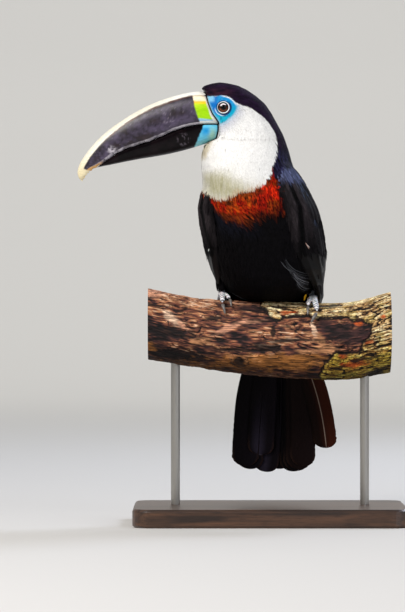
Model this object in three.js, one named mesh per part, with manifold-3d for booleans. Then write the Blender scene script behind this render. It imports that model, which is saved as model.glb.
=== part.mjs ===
// A white-throated toucan perched on a cut length of branch, life size, as a still display model.
// Millimetres, +Z up. The origin is the centre of the stand's underside. The breast faces -Y,
// the bill points to -X, and "left" and "right" are the bird's own.
import * as THREE from "three";
import { mergeVertices } from "three/addons/utils/BufferGeometryUtils.js";
import Module from "manifold-3d";

const wasm = await Module();
wasm.setup();

// ---- driving dimensions ----------------------------------------------------------------

const GAP = 0.3; // clearance between neighbouring pieces
const BODY_HEADING = 14; // degrees the breast is turned from -Y towards -X
const ROUNDING = 0.94; // 1 makes the body's rings true ellipses, less makes them fuller
const HEAD_CUT = 408; // height of the cut between head and neck
const NECK_CUT = 366; // height of the cut between neck and trunk

// Levels of the body from the belly to the crown. The neck twists as the heading grows from
// the breast's to the head's, so "front" is towards the breast low down and the bill high up.
const BODY_KEYS = ["z", "x", "y", "heading", "side", "front", "back"];
const BODY_LEVELS = [
  [243, 3, 12, 14, 0, 0, 0],
  [246, 3, 12, 14, 30, 28, 30],
  [256, 1, 10, 14, 47, 44, 46],
  [270, -1, 7, 14, 55, 52, 53],
  [292, -4, 3, 15, 59, 57, 58],
  [315, -8, -1, 18, 60, 59, 58],
  [344, -14, -6, 30, 57, 58, 57],
  [370, -20, -9, 48, 51, 54.5, 53],
  [392, -24, -9, 66, 45, 52, 49],
  [410, -26, -8, 80, 38.5, 49, 46],
  [426, -27, -8, 88, 32.5, 45, 41.2],
  [443, -32, -8, 88, 29, 48, 37],
  [459, -40, -8, 88, 27.5, 43, 35.5],
  [472, -47, -8, 88, 24, 33, 27],
  [480, -52, -8, 88, 17.5, 20.5, 17],
  [484, -55, -8, 88, 0, 0, 0],
];

// The rump carries the tail down behind the perch.
const RUMP_KEYS = ["x", "y", "z", "side", "depth"];
const RUMP_LEVELS = [
  [2, 20, 318, 0, 0],
  [3, 30, 300, 40, 24],
  [7, 42, 270, 42, 26],
  [11, 53, 245, 33, 18],
  [14, 59, 226, 26, 11],
  [15, 62, 210, 20, 6.5],
  [15, 63, 202, 0, 0],
];

// The surface the folded wings lie on: the trunk's sides, then past the rump to the tail's
// root. It has the same keys as the body's levels, but does not turn with the neck.
const WING_BED = [
  [188, 13, 60, 14, 13, 16, 12],
  [200, 12, 50, 14, 21, 22, 22],
  [222, 9, 31, 14, 36, 36, 39],
  [250, 2, 14, 14, 51, 50, 52],
  [270, -1, 7, 14, 55, 52, 53],
  [292, -4, 3, 15, 59, 57, 58],
  [315, -7.5, -1, 15, 59.8, 59, 58],
  [344, -13.2, -6, 15, 59.2, 57, 56],
  [370, -17, -8, 14, 50, 52, 52],
  [388, -19, -8, 14, 41, 43, 43],
  [402, -19, -8, 14, 31, 33, 33],
];
// Bearings of a wing's edges, in degrees round from the breast.
const WING_KEYS = ["z", "lead", "trail"];
const WING_EDGES = [
  [398, 66, 86],
  [390, 52, 106],
  [376, 45, 122],
  [355, 43, 137],
  [330, 43, 150],
  [300, 46, 159],
  [275, 57, 165],
  [250, 80, 168],
  [222, 112, 170],
  [200, 140, 171],
  [189, 156, 170],
];
const WING_LIFT = 7.6; // how far a wing's middle stands off its bed
const WING_EDGE_SHARE = 0.38; // share of that lift left at its edges

// Bill: three lines in the head's mid plane, as [x, z], and half widths from base to tip.
const CULMEN = [[-56, 472], [-75, 475.5], [-98, 472], [-137.5, 457], [-181.5, 428], [-203.5, 403.5],
  [-210.8, 389], [-210.4, 380], [-206.2, 374.4]];
const TOMIUM = [[-52, 437.5], [-76, 437.5], [-99, 433], [-132, 419.5], [-165, 408], [-186, 394],
  [-197.5, 387], [-202.6, 381.6], [-206.2, 374.4]];
const GONYS = [[-54, 424], [-72, 416.5], [-104, 407], [-148, 399], [-189, 390.6]];
const MOUTH_END = 0.68; // share of the tomium that the lower mandible runs along
const BILL_HALF_WIDTHS = [19.5, 19, 17.5, 15, 11.5, 8, 5.4, 3.8, 0];
const HEAD_MID_Y = -8;
const BILL_TURN = 3; // degrees the head looks back towards -Y
// Where feathers and skin meet the horn, from the culmen down to the chin, as [x, z].
const BILL_BASE = [[-76.5, 477], [-70.5, 469], [-68, 459], [-64, 449], [-57, 439], [-57, 430],
  [-58.5, 421.5]];

// face: how far the face's surface is from the mid plane; out: how far an eye stands proud of it.
const EYE = { x: -52.9, z: 455.3, radius: 7, face: 27.2, out: 2.6 };

const PERCH_AXIS = [[-134, 219], [-77, 208.5], [-22, 202.5], [33, 199.7], [88, 201], [132, 211]];
const PERCH_RADII = [39.5, 39, 41.5, 42.3, 42.3, 44];

const TAIL_ROOT = new THREE.Vector3(15, 62, 226);
const TAIL_TIP = new THREE.Vector3(8, 80, 52.6);
const TAIL_ARCH = 420; // the larger, the flatter the tail is across
const FEATHER_THICKNESS = 1.3;
const FEATHER_HALF_WIDTH = 15;
const FEATHER_TIP = 0.925; // share of a feather's length where its tip starts to round off
const FEATHER_CUP = 160; // the larger, the flatter one feather is across
const FEATHER_LAYER = 1.1;
// Ten feathers from the bird's right to its left: where each starts across the root, how far
// it splays by its tip, how much it bows outwards, its length as a share, and its layer.
const TAIL_FEATHERS = [
  { start: -20, splay: -14, bow: -5, length: 0.962, layer: 3 },
  { start: -16, splay: -13, bow: -4, length: 0.982, layer: 2.2 },
  { start: -11, splay: -6, bow: -2, length: 0.89, layer: 3.9 },
  { start: -5, splay: -6, bow: -1, length: 1, layer: 1.2 },
  { start: 1, splay: 2, bow: 0, length: 0.98, layer: 0.2 },
  { start: 9, splay: 11, bow: 1, length: 0.995, layer: 1.2 },
  { start: 12, splay: 13, bow: 1, length: 0.99, layer: 2.1 },
  { start: 14, splay: 14, bow: 2, length: 0.98, layer: 3 },
  { start: 18, splay: 15, bow: 3, length: 0.958, layer: 3.9 },
  { start: 4, splay: 58, bow: 12, length: 0.848, layer: 4.8 },
];

const STAND = { width: 300, depth: 200, thick: 20, corner: 18, bevel: 2.5, rodRadius: 5, rodX: 104 };

const ROD_STOP = 24; // how far below the perch's middle a rod ends, inside its hole

const COLOURS = {
  plumage: [0x0c0b0d, 0.62],
  bib: [0xf2efe4, 0.8],
  horn: [0x1d1a20, 0.35],
  eye: [0x2a120b, 0.08],
  foot: [0x8d959c, 0.55],
  claw: [0x2c2a2b, 0.4],
  wood: [0x6f4d38, 0.85],
  board: [0x3a2a20, 0.45],
  rod: [0x8f8a80, 0.35],
};

// ---- helpers ---------------------------------------------------------------------------

const toRadians = THREE.MathUtils.degToRad;

// Reads a table of levels at any share t of the way along it, smoothly, as a named record.
function levelReader(keys, levels) {
  const times = [0];
  for (let i = 1; i < levels.length; i++) {
    const step = Math.hypot(...levels[i].map((value, k) => value - levels[i - 1][k]));
    times.push(times[i - 1] + Math.sqrt(step));
  }
  const total = times[times.length - 1];
  const curve = new THREE.CubicInterpolant(times, levels.flat(), keys.length);
  return (t) => {
    const values = curve.evaluate(t * total);
    return Object.fromEntries(keys.map((key, k) => [key, values[k]]));
  };
}

function curveThrough(points) {
  const places = points.map(([x, z]) => new THREE.Vector3(x, 0, z));
  return new THREE.CatmullRomCurve3(places, false, "centripetal");
}

// A closed form: pointAt(t, turn) gives a ring for each t, and one point at t = 0 and t = 1.
function loft(around, along, pointAt) {
  const shape = new THREE.SphereGeometry(1, around, along);
  const { position, uv } = shape.attributes;
  for (let i = 0; i < position.count; i++) {
    const t = 1 - uv.getY(i);
    const turn = t === 0 || t === 1 ? 0 : 2 * Math.PI * (uv.getX(i) % 1);
    const point = pointAt(t, turn);
    position.setXYZ(i, point.x, point.y, point.z);
  }
  return solid(shape);
}

// A round bar with flat ends: pointAt(t, turn, share) with share 1 on its skin, 0 on its axis.
function bar(around, along, pointAt) {
  const shape = new THREE.CylinderGeometry(1, 1, 1, around, along);
  const { position } = shape.attributes;
  for (let i = 0; i < position.count; i++) {
    const [x, y, z] = [position.getX(i), position.getY(i), position.getZ(i)];
    const point = pointAt(y + 0.5, Math.atan2(z, x), Math.hypot(x, z));
    position.setXYZ(i, point.x, point.y, point.z);
  }
  return solid(shape);
}

function solid(shape) {
  const bare = shape.clone();
  bare.deleteAttribute("normal");
  bare.deleteAttribute("uv");
  const merged = mergeVertices(bare, 1e-3);
  const vertProperties = merged.attributes.position.array;
  const triVerts = new Uint32Array(merged.index.array);
  const made = new wasm.Manifold(new wasm.Mesh({ numProp: 3, vertProperties, triVerts }));
  if (made.volume() > 0) return made;
  triVerts.reverse();
  return new wasm.Manifold(new wasm.Mesh({ numProp: 3, vertProperties, triVerts }));
}

// The largest body of a cut, without the slivers.
function mainBody(cut) {
  return cut.decompose().sort((a, b) => b.volume() - a.volume())[0];
}

function box(low, high) {
  const size = new THREE.Vector3().subVectors(high, low);
  const shape = new THREE.BoxGeometry(size.x, size.y, size.z);
  shape.translate((low.x + high.x) / 2, (low.y + high.y) / 2, (low.z + high.z) / 2);
  return solid(shape);
}

function slab(low, high) {
  return box(new THREE.Vector3(-400, -400, low), new THREE.Vector3(400, 400, high));
}

const group = new THREE.Group();

function addNode(name, made, finish) {
  const mesh = made.getMesh();
  const shape = new THREE.BufferGeometry();
  shape.setAttribute("position", new THREE.BufferAttribute(mesh.vertProperties, 3));
  shape.setIndex(new THREE.BufferAttribute(mesh.triVerts, 1));
  shape.computeVertexNormals();
  const [color, roughness] = COLOURS[finish];
  const material = new THREE.MeshStandardMaterial({ color, roughness, metalness: 0 });
  const node = new THREE.Mesh(shape, material);
  node.name = name;
  group.add(node);
}

function power(value, exponent) {
  return Math.sign(value) * Math.abs(value) ** exponent;
}

// Reads a table of levels by its first column, smoothly, as a named record.
function heightReader(keys, levels) {
  const curve = new THREE.CubicInterpolant(levels.map(([z]) => z), levels.flat(), keys.length);
  return (z) => {
    const values = curve.evaluate(z);
    return Object.fromEntries(keys.map((key, k) => [key, values[k]]));
  };
}

// A point of a level ring, so far ahead and to the left of its centre.
function onRing(ring, ahead, aside) {
  const heading = toRadians(ring.heading);
  const [sin, cos] = [Math.sin(heading), Math.cos(heading)];
  return new THREE.Vector3(ring.x - sin * ahead + cos * aside, ring.y - cos * ahead - sin * aside, ring.z);
}

// The point of a ring's outline at a bearing from its front, lifted off it.
function aroundRing(ring, bearing, lift) {
  const [ahead, aside] = [Math.cos(bearing), Math.sin(bearing)];
  const reach = ahead > 0 ? ring.front : ring.back;
  return onRing(ring, power(ahead, ROUNDING) * (reach + lift), power(aside, ROUNDING) * (ring.side + lift));
}

// ---- body ------------------------------------------------------------------------------

const bodyAt = levelReader(BODY_KEYS, BODY_LEVELS);
const rumpAt = levelReader(RUMP_KEYS, RUMP_LEVELS);

function bodyForm(grow) {
  const body = loft(24, 27, (t, turn) => {
    const ring = bodyAt(t);
    return aroundRing(ring, turn, Math.min(grow, ring.side));
  });
  const rump = loft(14, 9, (t, turn) => {
    const ring = { ...rumpAt(t), heading: BODY_HEADING };
    const swell = Math.min(grow, ring.side);
    return onRing(ring, Math.cos(turn) * (ring.depth + swell), Math.sin(turn) * (ring.side + swell));
  });
  return body.add(rump);
}

// ---- bill ------------------------------------------------------------------------------

const culmen = curveThrough(CULMEN);
const tomium = curveThrough(TOMIUM);
const gonys = curveThrough(GONYS);

function billHalfWidth(t) {
  const at = Math.min(t, 0.9999) * (BILL_HALF_WIDTHS.length - 1);
  const low = Math.floor(at);
  return THREE.MathUtils.lerp(BILL_HALF_WIDTHS[low], BILL_HALF_WIDTHS[low + 1], at - low);
}

// One mandible: rings that stand between a lower and an upper line, widest at the share "belly".
function mandible(around, along, lowerAt, upperAt, widthAt, belly, topPower, lowPower) {
  return loft(around, along, (t, turn) => {
    const [low, high] = [lowerAt(t), upperAt(t)];
    const [c, s] = [Math.cos(turn), Math.sin(turn)];
    const rise = belly + (s > 0 ? 1 - belly : belly) * power(s, 0.9);
    const ends = Math.min(1, Math.sqrt(t * 60), Math.sqrt((1 - t) * 14));
    const point = low.clone().lerp(high, 0.5 + (rise - 0.5) * ends);
    point.y = power(c, s > 0 ? topPower : lowPower) * widthAt(t) * ends;
    return point;
  });
}

function upperBill() {
  return mandible(16, 18, (t) => tomium.getPoint(t), (t) => culmen.getPoint(t),
    billHalfWidth, 0.3, 0.8, 0.45);
}

function lowerBill() {
  const underTomium = (t) => {
    const point = tomium.getPoint(t * MOUTH_END);
    point.z -= GAP;
    return point;
  };
  return mandible(14, 11, (t) => gonys.getPoint(t), underTomium,
    (t) => billHalfWidth(t * MOUTH_END) * 0.93, 0.72, 0.4, 0.75);
}

// The region in front of the line where the face meets the horn, across the whole head.
function hornRegion(inset) {
  const outline = new THREE.Shape();
  outline.moveTo(-230, 490);
  BILL_BASE.forEach(([x, z], i) => outline.lineTo(x - inset, z + (i === 0 ? 13 : 0)));
  outline.lineTo(-72 - inset, 416 + inset);
  outline.lineTo(-104, 406 + inset);
  outline.lineTo(-104, 395);
  outline.lineTo(-230, 360);
  const shape = new THREE.ExtrudeGeometry(outline, { depth: 120, bevelEnabled: false });
  shape.rotateX(Math.PI / 2);
  shape.translate(0, 60, 0);
  return solid(shape);
}

// Turns what is built in the mid plane y = 0 onto the head.
function ontoHead(made) {
  return made
    .translate([-EYE.x, 0, 0])
    .rotate([0, 0, BILL_TURN])
    .translate([EYE.x, HEAD_MID_Y, 0]);
}

// The horn's own outline from the side, a little larger, which the head is cut back from.
function socket() {
  const forehead = slab(476.5, 600);
  return hornRegion(0).subtract(forehead);
}

// ---- eyes ------------------------------------------------------------------------------

// The head looks to -X, so its left side, 1, is towards -Y.
function eyeball(side, grow) {
  const ball = new THREE.SphereGeometry(EYE.radius + grow, 12, 8);
  ball.translate(EYE.x, side * (EYE.radius - EYE.out - EYE.face), EYE.z);
  return solid(ball);
}

// ---- wings -----------------------------------------------------------------------------

const wingBedAt = heightReader(BODY_KEYS, WING_BED);
const wingEdgesAt = levelReader(WING_KEYS, WING_EDGES);

function wing(side) {
  return loft(12, 16, (t, turn) => {
    const { z, lead, trail } = wingEdgesAt(t);
    const bed = wingBedAt(z);
    const ends = Math.sqrt(Math.max(0, 1 - (2 * t - 1) ** 8));
    const across = 0.5 + 0.5 * Math.cos(turn) * ends;
    const bearing = side * toRadians(THREE.MathUtils.lerp(lead, trail, across));
    const crown = WING_EDGE_SHARE + (1 - WING_EDGE_SHARE) * Math.abs(Math.sin(turn)) ** 0.8;
    const rise = Math.sin(turn) > 0 ? 1 - crown - WING_EDGE_SHARE : crown;
    const lift = WING_LIFT * THREE.MathUtils.lerp(WING_EDGE_SHARE, rise, ends);
    return aroundRing(bed, bearing, lift);
  });
}

// ---- tail ------------------------------------------------------------------------------

function featherHalfWidth(s) {
  const shoulder = 0.5 + 0.5 * THREE.MathUtils.smoothstep(s, 0, 0.6);
  const tip = Math.sqrt(1 - Math.max(0, (s - FEATHER_TIP) / (1 - FEATHER_TIP)) ** 2.2);
  return FEATHER_HALF_WIDTH * shoulder * tip * Math.min(1, Math.sqrt(s * 30));
}

function tailFeather({ start, splay, bow, length, layer }, grow) {
  return loft(6, 7, (t, turn) => {
    const along = 1 - (1 - t) ** 1.7;
    const s = along * length;
    const middle = TAIL_ROOT.clone().lerp(TAIL_TIP, s);
    const aside = start + splay * s + bow * Math.sin(Math.PI * s);
    const half = featherHalfWidth(along);
    const across = Math.cos(turn) * (half + Math.min(grow, half));
    const arch = (aside + across) ** 2 / TAIL_ARCH + across ** 2 / FEATHER_CUP;
    const thick = (FEATHER_THICKNESS + 2 * grow) * power(Math.sin(turn), 0.6) * Math.min(1, half / 4);
    const ahead = layer * FEATHER_LAYER + arch + thick / 2;
    const ring = { x: middle.x, y: middle.y, z: middle.z, heading: BODY_HEADING };
    return onRing(ring, ahead, aside + across);
  });
}

function tailForm(grow) {
  const feathers = TAIL_FEATHERS.map((feather) => tailFeather(feather, grow));
  return feathers.reduce((whole, one) => whole.add(one));
}

// ---- perch -----------------------------------------------------------------------------

const perchHeight = heightReader(["x", "z"], PERCH_AXIS);
const perchSpan = [PERCH_AXIS[0][0], PERCH_AXIS[PERCH_AXIS.length - 1][0]];

function perchShareAt(x) {
  return THREE.MathUtils.inverseLerp(perchSpan[0], perchSpan[1], x);
}

function perchRadius(t, around) {
  const at = Math.min(t, 0.9999) * (PERCH_RADII.length - 1);
  const low = Math.floor(at);
  const plain = THREE.MathUtils.lerp(PERCH_RADII[low], PERCH_RADII[low + 1], at - low);
  return plain + 0.9 * Math.sin(3 * around + 5 * t) + 0.6 * Math.sin(5 * around - 7 * t);
}

// A point of the perch, "round" degrees forward of its top, "lift" above its bark.
function onPerch(t, round, lift, share = 1) {
  const axis = perchHeight(THREE.MathUtils.lerp(perchSpan[0], perchSpan[1], t));
  const around = toRadians(round);
  const out = (perchRadius(t, around) + lift) * share;
  return new THREE.Vector3(axis.x, -out * Math.sin(around), axis.z + out * Math.cos(around));
}

function perch(grow) {
  return bar(24, 9, (t, turn, share) => onPerch(t, THREE.MathUtils.radToDeg(turn), grow, share));
}

// ---- legs ------------------------------------------------------------------------------

// Two toes point forwards and two back. Each runs from the foot's middle over the bark:
// x where it ends, degrees round the perch, radius at its root.
const FEET = {
  right: {
    x: -53,
    toes: [
      { x: -52.5, round: 35, radius: 3.7 },
      { x: -44.5, round: 19, radius: 3.1 },
      { x: -59, round: -64, radius: 3.5 },
      { x: -47, round: -48, radius: 3 },
    ],
    claws: [-49.5, -42.5, -61, -46],
  },
  left: {
    x: 46.5,
    toes: [
      { x: 51, round: 44, radius: 4 },
      { x: 41, round: 29, radius: 3.4 },
      { x: 53, round: -60, radius: 3.5 },
      { x: 40, round: -46, radius: 3 },
    ],
    claws: [43.5, 40.5, 55, 39],
  },
};
const FOOT_ROUND = -8; // degrees round the perch of the foot's middle
const CLAW_DEGREES = 18;
const CLAW_GIRTH = 0.74; // a claw's radius at its root, as a share of its toe's
const CLAW_ARCH = 1.6; // how far a claw's middle lifts off the bark
const TOE_ARCH = 1.2; // how far a toe's middle lifts off the bark
const TARSUS = { radius: 4, rise: 17, back: 5 };
const PALM_RADIUS = 4.4; // the pad that the tarsus and the four toes grow from

function tube(around, along, centreAt, radiusAt) {
  return loft(around, along, (t, turn) => {
    const here = centreAt(t);
    const ahead = centreAt(Math.min(1, t + 0.01)).sub(centreAt(Math.max(0, t - 0.01))).normalize();
    const across = new THREE.Vector3(1, 0, 0).cross(ahead).normalize();
    const beside = ahead.clone().cross(across);
    const radius = radiusAt(t) * Math.sqrt(Math.max(0, Math.min(1, t * 8, (1 - t) * 8)));
    here.addScaledVector(across, radius * Math.cos(turn));
    return here.addScaledVector(beside, radius * Math.sin(turn));
  });
}

function toe(foot, { x, round, radius }, grow) {
  const knuckles = Math.abs(round) > 40 ? 3 : 2;
  const radiusAt = (t) => radius * (1 - 0.28 * t) * (1 + 0.1 * Math.cos(2 * Math.PI * knuckles * t)) + grow;
  const centreAt = (t) => {
    const share = perchShareAt(THREE.MathUtils.lerp(foot.x, x, t));
    const lift = radius * 1.1 + GAP + TOE_ARCH * Math.sin(Math.PI * t);
    return onPerch(share, THREE.MathUtils.lerp(FOOT_ROUND, round, t), lift);
  };
  return tube(6, 7, centreAt, radiusAt);
}

function claw(foot, { x, round, radius }, tipX) {
  const way = Math.sign(round);
  const centreAt = (t) => {
    const share = perchShareAt(THREE.MathUtils.lerp(x, tipX, t));
    const arch = CLAW_ARCH * Math.sin(Math.PI * Math.min(1, t * 1.15));
    const lift = radius * 0.85 + GAP + arch - radius * 0.45 * t * t;
    return onPerch(share, round + way * (1.5 + CLAW_DEGREES * t), lift);
  };
  return tube(5, 5, centreAt, (t) => radius * CLAW_GIRTH * (1 - 0.8 * t));
}

function leg(foot, grow) {
  const middle = onPerch(perchShareAt(foot.x), FOOT_ROUND, PALM_RADIUS + GAP);
  const shank = middle.clone().add(new THREE.Vector3(0, TARSUS.back, TARSUS.rise));
  const tarsus = tube(7, 5, (t) => middle.clone().lerp(shank, t), () => TARSUS.radius + grow);
  const pad = new THREE.SphereGeometry(PALM_RADIUS + grow, 9, 6);
  pad.translate(middle.x, middle.y, middle.z);
  return foot.toes.reduce((whole, one) => whole.add(toe(foot, one, grow)), tarsus.add(solid(pad)));
}

// ---- stand -----------------------------------------------------------------------------

function board() {
  const { width, depth, thick, corner, bevel } = STAND;
  const [w, d, r] = [width / 2 - bevel, depth / 2 - bevel, corner];
  const outline = new THREE.Shape();
  outline.moveTo(-w + r, -d);
  outline.absarc(w - r, -d + r, r, -Math.PI / 2, 0);
  outline.absarc(w - r, d - r, r, 0, Math.PI / 2);
  outline.absarc(-w + r, d - r, r, Math.PI / 2, Math.PI);
  outline.absarc(-w + r, -d + r, r, Math.PI, 1.5 * Math.PI);
  const shape = new THREE.ExtrudeGeometry(outline, {
    depth: thick - 2 * bevel,
    bevelThickness: bevel,
    bevelSize: bevel,
    bevelSegments: 1,
    curveSegments: 4,
  });
  shape.translate(0, 0, bevel);
  return solid(shape);
}

function rod(x, grow) {
  const [foot, top] = [STAND.thick + GAP, perchHeight(x).z - ROD_STOP];
  const radius = STAND.rodRadius + grow;
  const shape = new THREE.CylinderGeometry(radius, radius, top - foot + grow, 16);
  shape.rotateX(Math.PI / 2);
  shape.translate(x, 0, (top + foot + grow) / 2);
  return solid(shape);
}

// ---- assembly --------------------------------------------------------------------------

const legs = { left: leg(FEET.left, 0), right: leg(FEET.right, 0) };

let body = bodyForm(0)
  .subtract(perch(GAP + 0.2))
  .subtract(ontoHead(socket()));
for (const side of [1, -1]) {
  body = body.subtract(ontoHead(eyeball(side, GAP)));
}
for (const foot of Object.values(FEET)) {
  body = body.subtract(leg(foot, GAP + 0.1));
}

addNode("head", mainBody(body.intersect(slab(HEAD_CUT + GAP / 2, 600))), "plumage");
addNode("neck", mainBody(body.intersect(slab(NECK_CUT + GAP / 2, HEAD_CUT - GAP / 2))), "bib");
addNode("trunk", mainBody(body.intersect(slab(0, NECK_CUT - GAP / 2))), "plumage");

const horn = hornRegion(GAP);
addNode("bill_upper", mainBody(ontoHead(upperBill().intersect(horn))), "horn");
addNode("bill_lower", mainBody(ontoHead(lowerBill().intersect(horn).subtract(upperBill()))), "horn");
addNode("eye_left", ontoHead(eyeball(1, 0)), "eye");
addNode("eye_right", ontoHead(eyeball(-1, 0)), "eye");

const bodyClear = bodyForm(GAP + 0.1);
const footClear = Object.values(FEET).reduce((whole, foot) => whole.add(leg(foot, 1.5)), perch(GAP + 0.2));
addNode("tail", mainBody(tailForm(0).subtract(bodyClear)), "plumage");

for (const [name, side] of [["left", 1], ["right", -1]]) {
  const folded = wing(side).subtract(bodyClear).subtract(tailForm(GAP + 0.1)).subtract(footClear);
  addNode("wing_" + name, mainBody(folded), "plumage");
}

for (const [name, foot] of Object.entries(FEET)) {
  addNode("leg_" + name, mainBody(legs[name]), "foot");
  foot.toes.forEach((one, i) => {
    const made = claw(foot, one, foot.claws[i]).subtract(leg(foot, GAP));
    addNode("claw_" + name + "_" + (i + 1), mainBody(made), "claw");
  });
}

const rods = [-STAND.rodX, STAND.rodX];
const drilled = rods.reduce((wood, x) => wood.subtract(rod(x, GAP)), perch(0));
addNode("perch", mainBody(drilled), "wood");
addNode("stand_base", board(), "board");
addNode("stand_rod_right", rod(rods[0], 0), "rod");
addNode("stand_rod_left", rod(rods[1], 0), "rod");

export default group;
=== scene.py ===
import math

import bmesh
import bpy
import numpy as np
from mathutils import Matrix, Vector
from mathutils.bvhtree import BVHTree


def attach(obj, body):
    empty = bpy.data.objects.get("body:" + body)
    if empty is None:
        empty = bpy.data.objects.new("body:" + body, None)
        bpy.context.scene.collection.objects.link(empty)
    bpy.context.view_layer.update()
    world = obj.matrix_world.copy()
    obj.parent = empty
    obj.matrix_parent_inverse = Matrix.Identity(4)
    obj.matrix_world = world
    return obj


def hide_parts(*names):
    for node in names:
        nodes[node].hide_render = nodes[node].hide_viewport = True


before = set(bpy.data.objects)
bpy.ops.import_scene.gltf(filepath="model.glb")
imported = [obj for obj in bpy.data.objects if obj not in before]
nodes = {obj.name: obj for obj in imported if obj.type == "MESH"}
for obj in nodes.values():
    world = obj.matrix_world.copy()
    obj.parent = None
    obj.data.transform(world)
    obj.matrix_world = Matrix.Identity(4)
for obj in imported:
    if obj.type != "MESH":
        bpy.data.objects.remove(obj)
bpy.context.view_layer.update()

# A white-throated toucan on a cut branch, as a still museum model. Lengths here are in
# millimetres, and addMesh turns them into metres. The breast faces -Y, the bill points to -X,
# and left and right are the bird's own.


def linear(hexColour):
    values = [int(hexColour[i:i + 2], 16) / 255 for i in (1, 3, 5)]
    return np.array([v / 12.92 if v <= 0.04045 else ((v + 0.055) / 1.055) ** 2.4 for v in values])


def socketColour(hexColour):
    return (*linear(hexColour), 1)


def tintsOf(hexColours):
    return {name: linear(value) for name, value in hexColours.items()}


def between(low, high, value):
    # 0 below low, 1 above high, smooth in between
    t = np.clip((value - low) / (high - low), 0, 1)
    return t * t * (3 - 2 * t)


def clamped(share):
    return np.clip(share, 0, 1)


def mixed(a, b, share):
    share = np.asarray(share)[..., None]
    return a * (1 - share) + b * share


def layered(colour, tint, *layers):
    # paints each named tint over the last, by its share at each point
    for name, share in layers:
        colour = mixed(colour, tint[name], share)
    return colour


def unit(vectors):
    return vectors / np.maximum(np.linalg.norm(vectors, axis=-1, keepdims=True), 1e-9)


def noise(points, size, seed=0):
    # smooth random field from -1 to 1, with lumps about "size" mm across
    at = np.asarray(points) / size
    cell = np.floor(at).astype(np.int64)
    part = at - cell
    part = part * part * (3 - 2 * part)
    total = 0
    for corner in np.ndindex(2, 2, 2):
        key = (cell + corner) @ np.array([73856093, 19349663, 83492791]) + seed * 40503
        key = ((key ^ (key >> 13)) * 1274126177) & 0x7FFFFFFF
        value = ((key ^ (key >> 15)) & 0xFFFF) / 32767.5 - 1
        total = total + value * np.prod(np.where(corner, part, 1 - part), axis=-1)
    return total


def fractal(points, size, octaves=3, seed=0):
    return sum(noise(points, size / 2 ** k, seed + k) / 2 ** k for k in range(octaves))


def readTable(rows, at):
    # the other columns of a table at any value of its first one, as a smooth cubic
    rows = np.array(rows, float)
    times, values = rows[:, 0], rows[:, 1:]
    slopes = np.empty_like(values)
    slopes[1:-1] = (values[2:] - values[:-2]) / (times[2:] - times[:-2])[:, None]
    slopes[0] = (values[1] - values[0]) / (times[1] - times[0])
    slopes[-1] = (values[-1] - values[-2]) / (times[-1] - times[-2])
    at = np.clip(np.asarray(at, float), times[0], times[-1])
    i = np.clip(np.searchsorted(times, at) - 1, 0, len(times) - 2)
    step = (times[i + 1] - times[i])[..., None]
    t = (at - times[i])[..., None] / step
    value = (1 + 2 * t) * (1 - t) ** 2 * values[i] + t * t * (3 - 2 * t) * values[i + 1]
    return value + step * (t * (1 - t) ** 2 * slopes[i] - t * t * (1 - t) * slopes[i + 1])


def smoothLine(points, count):
    # a smooth curve through the points, as "count" places evenly spaced by chord
    points = np.array(points, float)
    steps = np.sqrt(np.linalg.norm(np.diff(points, axis=0), axis=1))
    times = np.concatenate([[0], np.cumsum(steps)])
    return readTable(np.column_stack([times, points]), np.linspace(0, times[-1], count))


def lineDistance(points, line):
    # distance of 2-D points from an open line of 2-D points
    line = np.array(line, float)
    best = np.full(len(points), np.inf)
    for a, b in zip(line[:-1], line[1:]):
        way = b - a
        share = np.clip((points - a) @ way / (way @ way), 0, 1)
        best = np.minimum(best, np.linalg.norm(points - a - share[:, None] * way, axis=1))
    return best


def insideDistance(points, outline):
    # how far inside a closed 2-D outline each point is, negative outside
    outline = np.array(outline, float)
    inside = np.zeros(len(points), bool)
    for a, b in zip(outline, np.roll(outline, -1, axis=0)):
        spans = (a[1] > points[:, 1]) != (b[1] > points[:, 1])
        cross = a[0] + (points[:, 1] - a[1]) * (b[0] - a[0]) / (b[1] - a[1] + 1e-9)
        inside ^= spans & (points[:, 0] < cross)
    reach = lineDistance(points, np.vstack([outline, outline[:1]]))
    return np.where(inside, reach, -reach)


def valueAt(table, at):
    # straight lines between a table's rows of place and value
    return np.interp(at, *zip(*table))


def addThing(name, data):
    thing = bpy.data.objects.new(name, data)
    bpy.context.scene.collection.objects.link(thing)
    return thing


def addMesh(name, points, faces):
    mesh = bpy.data.meshes.new(name)
    mesh.vertices.add(len(points))
    mesh.vertices.foreach_set("co", (np.asarray(points) / 1000).ravel())
    mesh.loops.add(faces.size)
    mesh.loops.foreach_set("vertex_index", faces.ravel())
    mesh.polygons.add(len(faces))
    mesh.polygons.foreach_set("loop_start", np.arange(0, faces.size, faces.shape[1]))
    mesh.polygons.foreach_set("use_smooth", np.ones(len(faces), bool))
    mesh.update(calc_edges=True)
    return addThing(name, mesh)


def meshFrom(shape, name):
    mesh = bpy.data.meshes.new(name)
    shape.to_mesh(mesh)
    shape.free()
    return mesh


def pointsOf(mesh):
    points = np.empty(len(mesh.vertices) * 3)
    mesh.vertices.foreach_get("co", points)
    return points.reshape(-1, 3) * 1000


def paint(thing, name, colours):
    layer = thing.data.attributes.new(name, "FLOAT_COLOR", "POINT")
    layer.data.foreach_set("color", np.column_stack([colours, np.ones(len(colours))]).ravel())


def gridFaces(rows, columns, closed=False):
    # quads of a grid whose points run column by column within each row
    across = columns if closed else columns - 1
    r, c = np.meshgrid(np.arange(rows - 1), np.arange(across), indexing="ij")
    a, b = (r * columns + c).ravel(), (r * columns + (c + 1) % columns).ravel()
    return np.column_stack([a, b, b + columns, a + columns])


def finish(thing, material, slot, *replaced):
    thing.data.materials.clear()
    thing.data.materials.append(material)
    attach(thing, "root")
    if replaced:
        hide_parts(*replaced)


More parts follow.
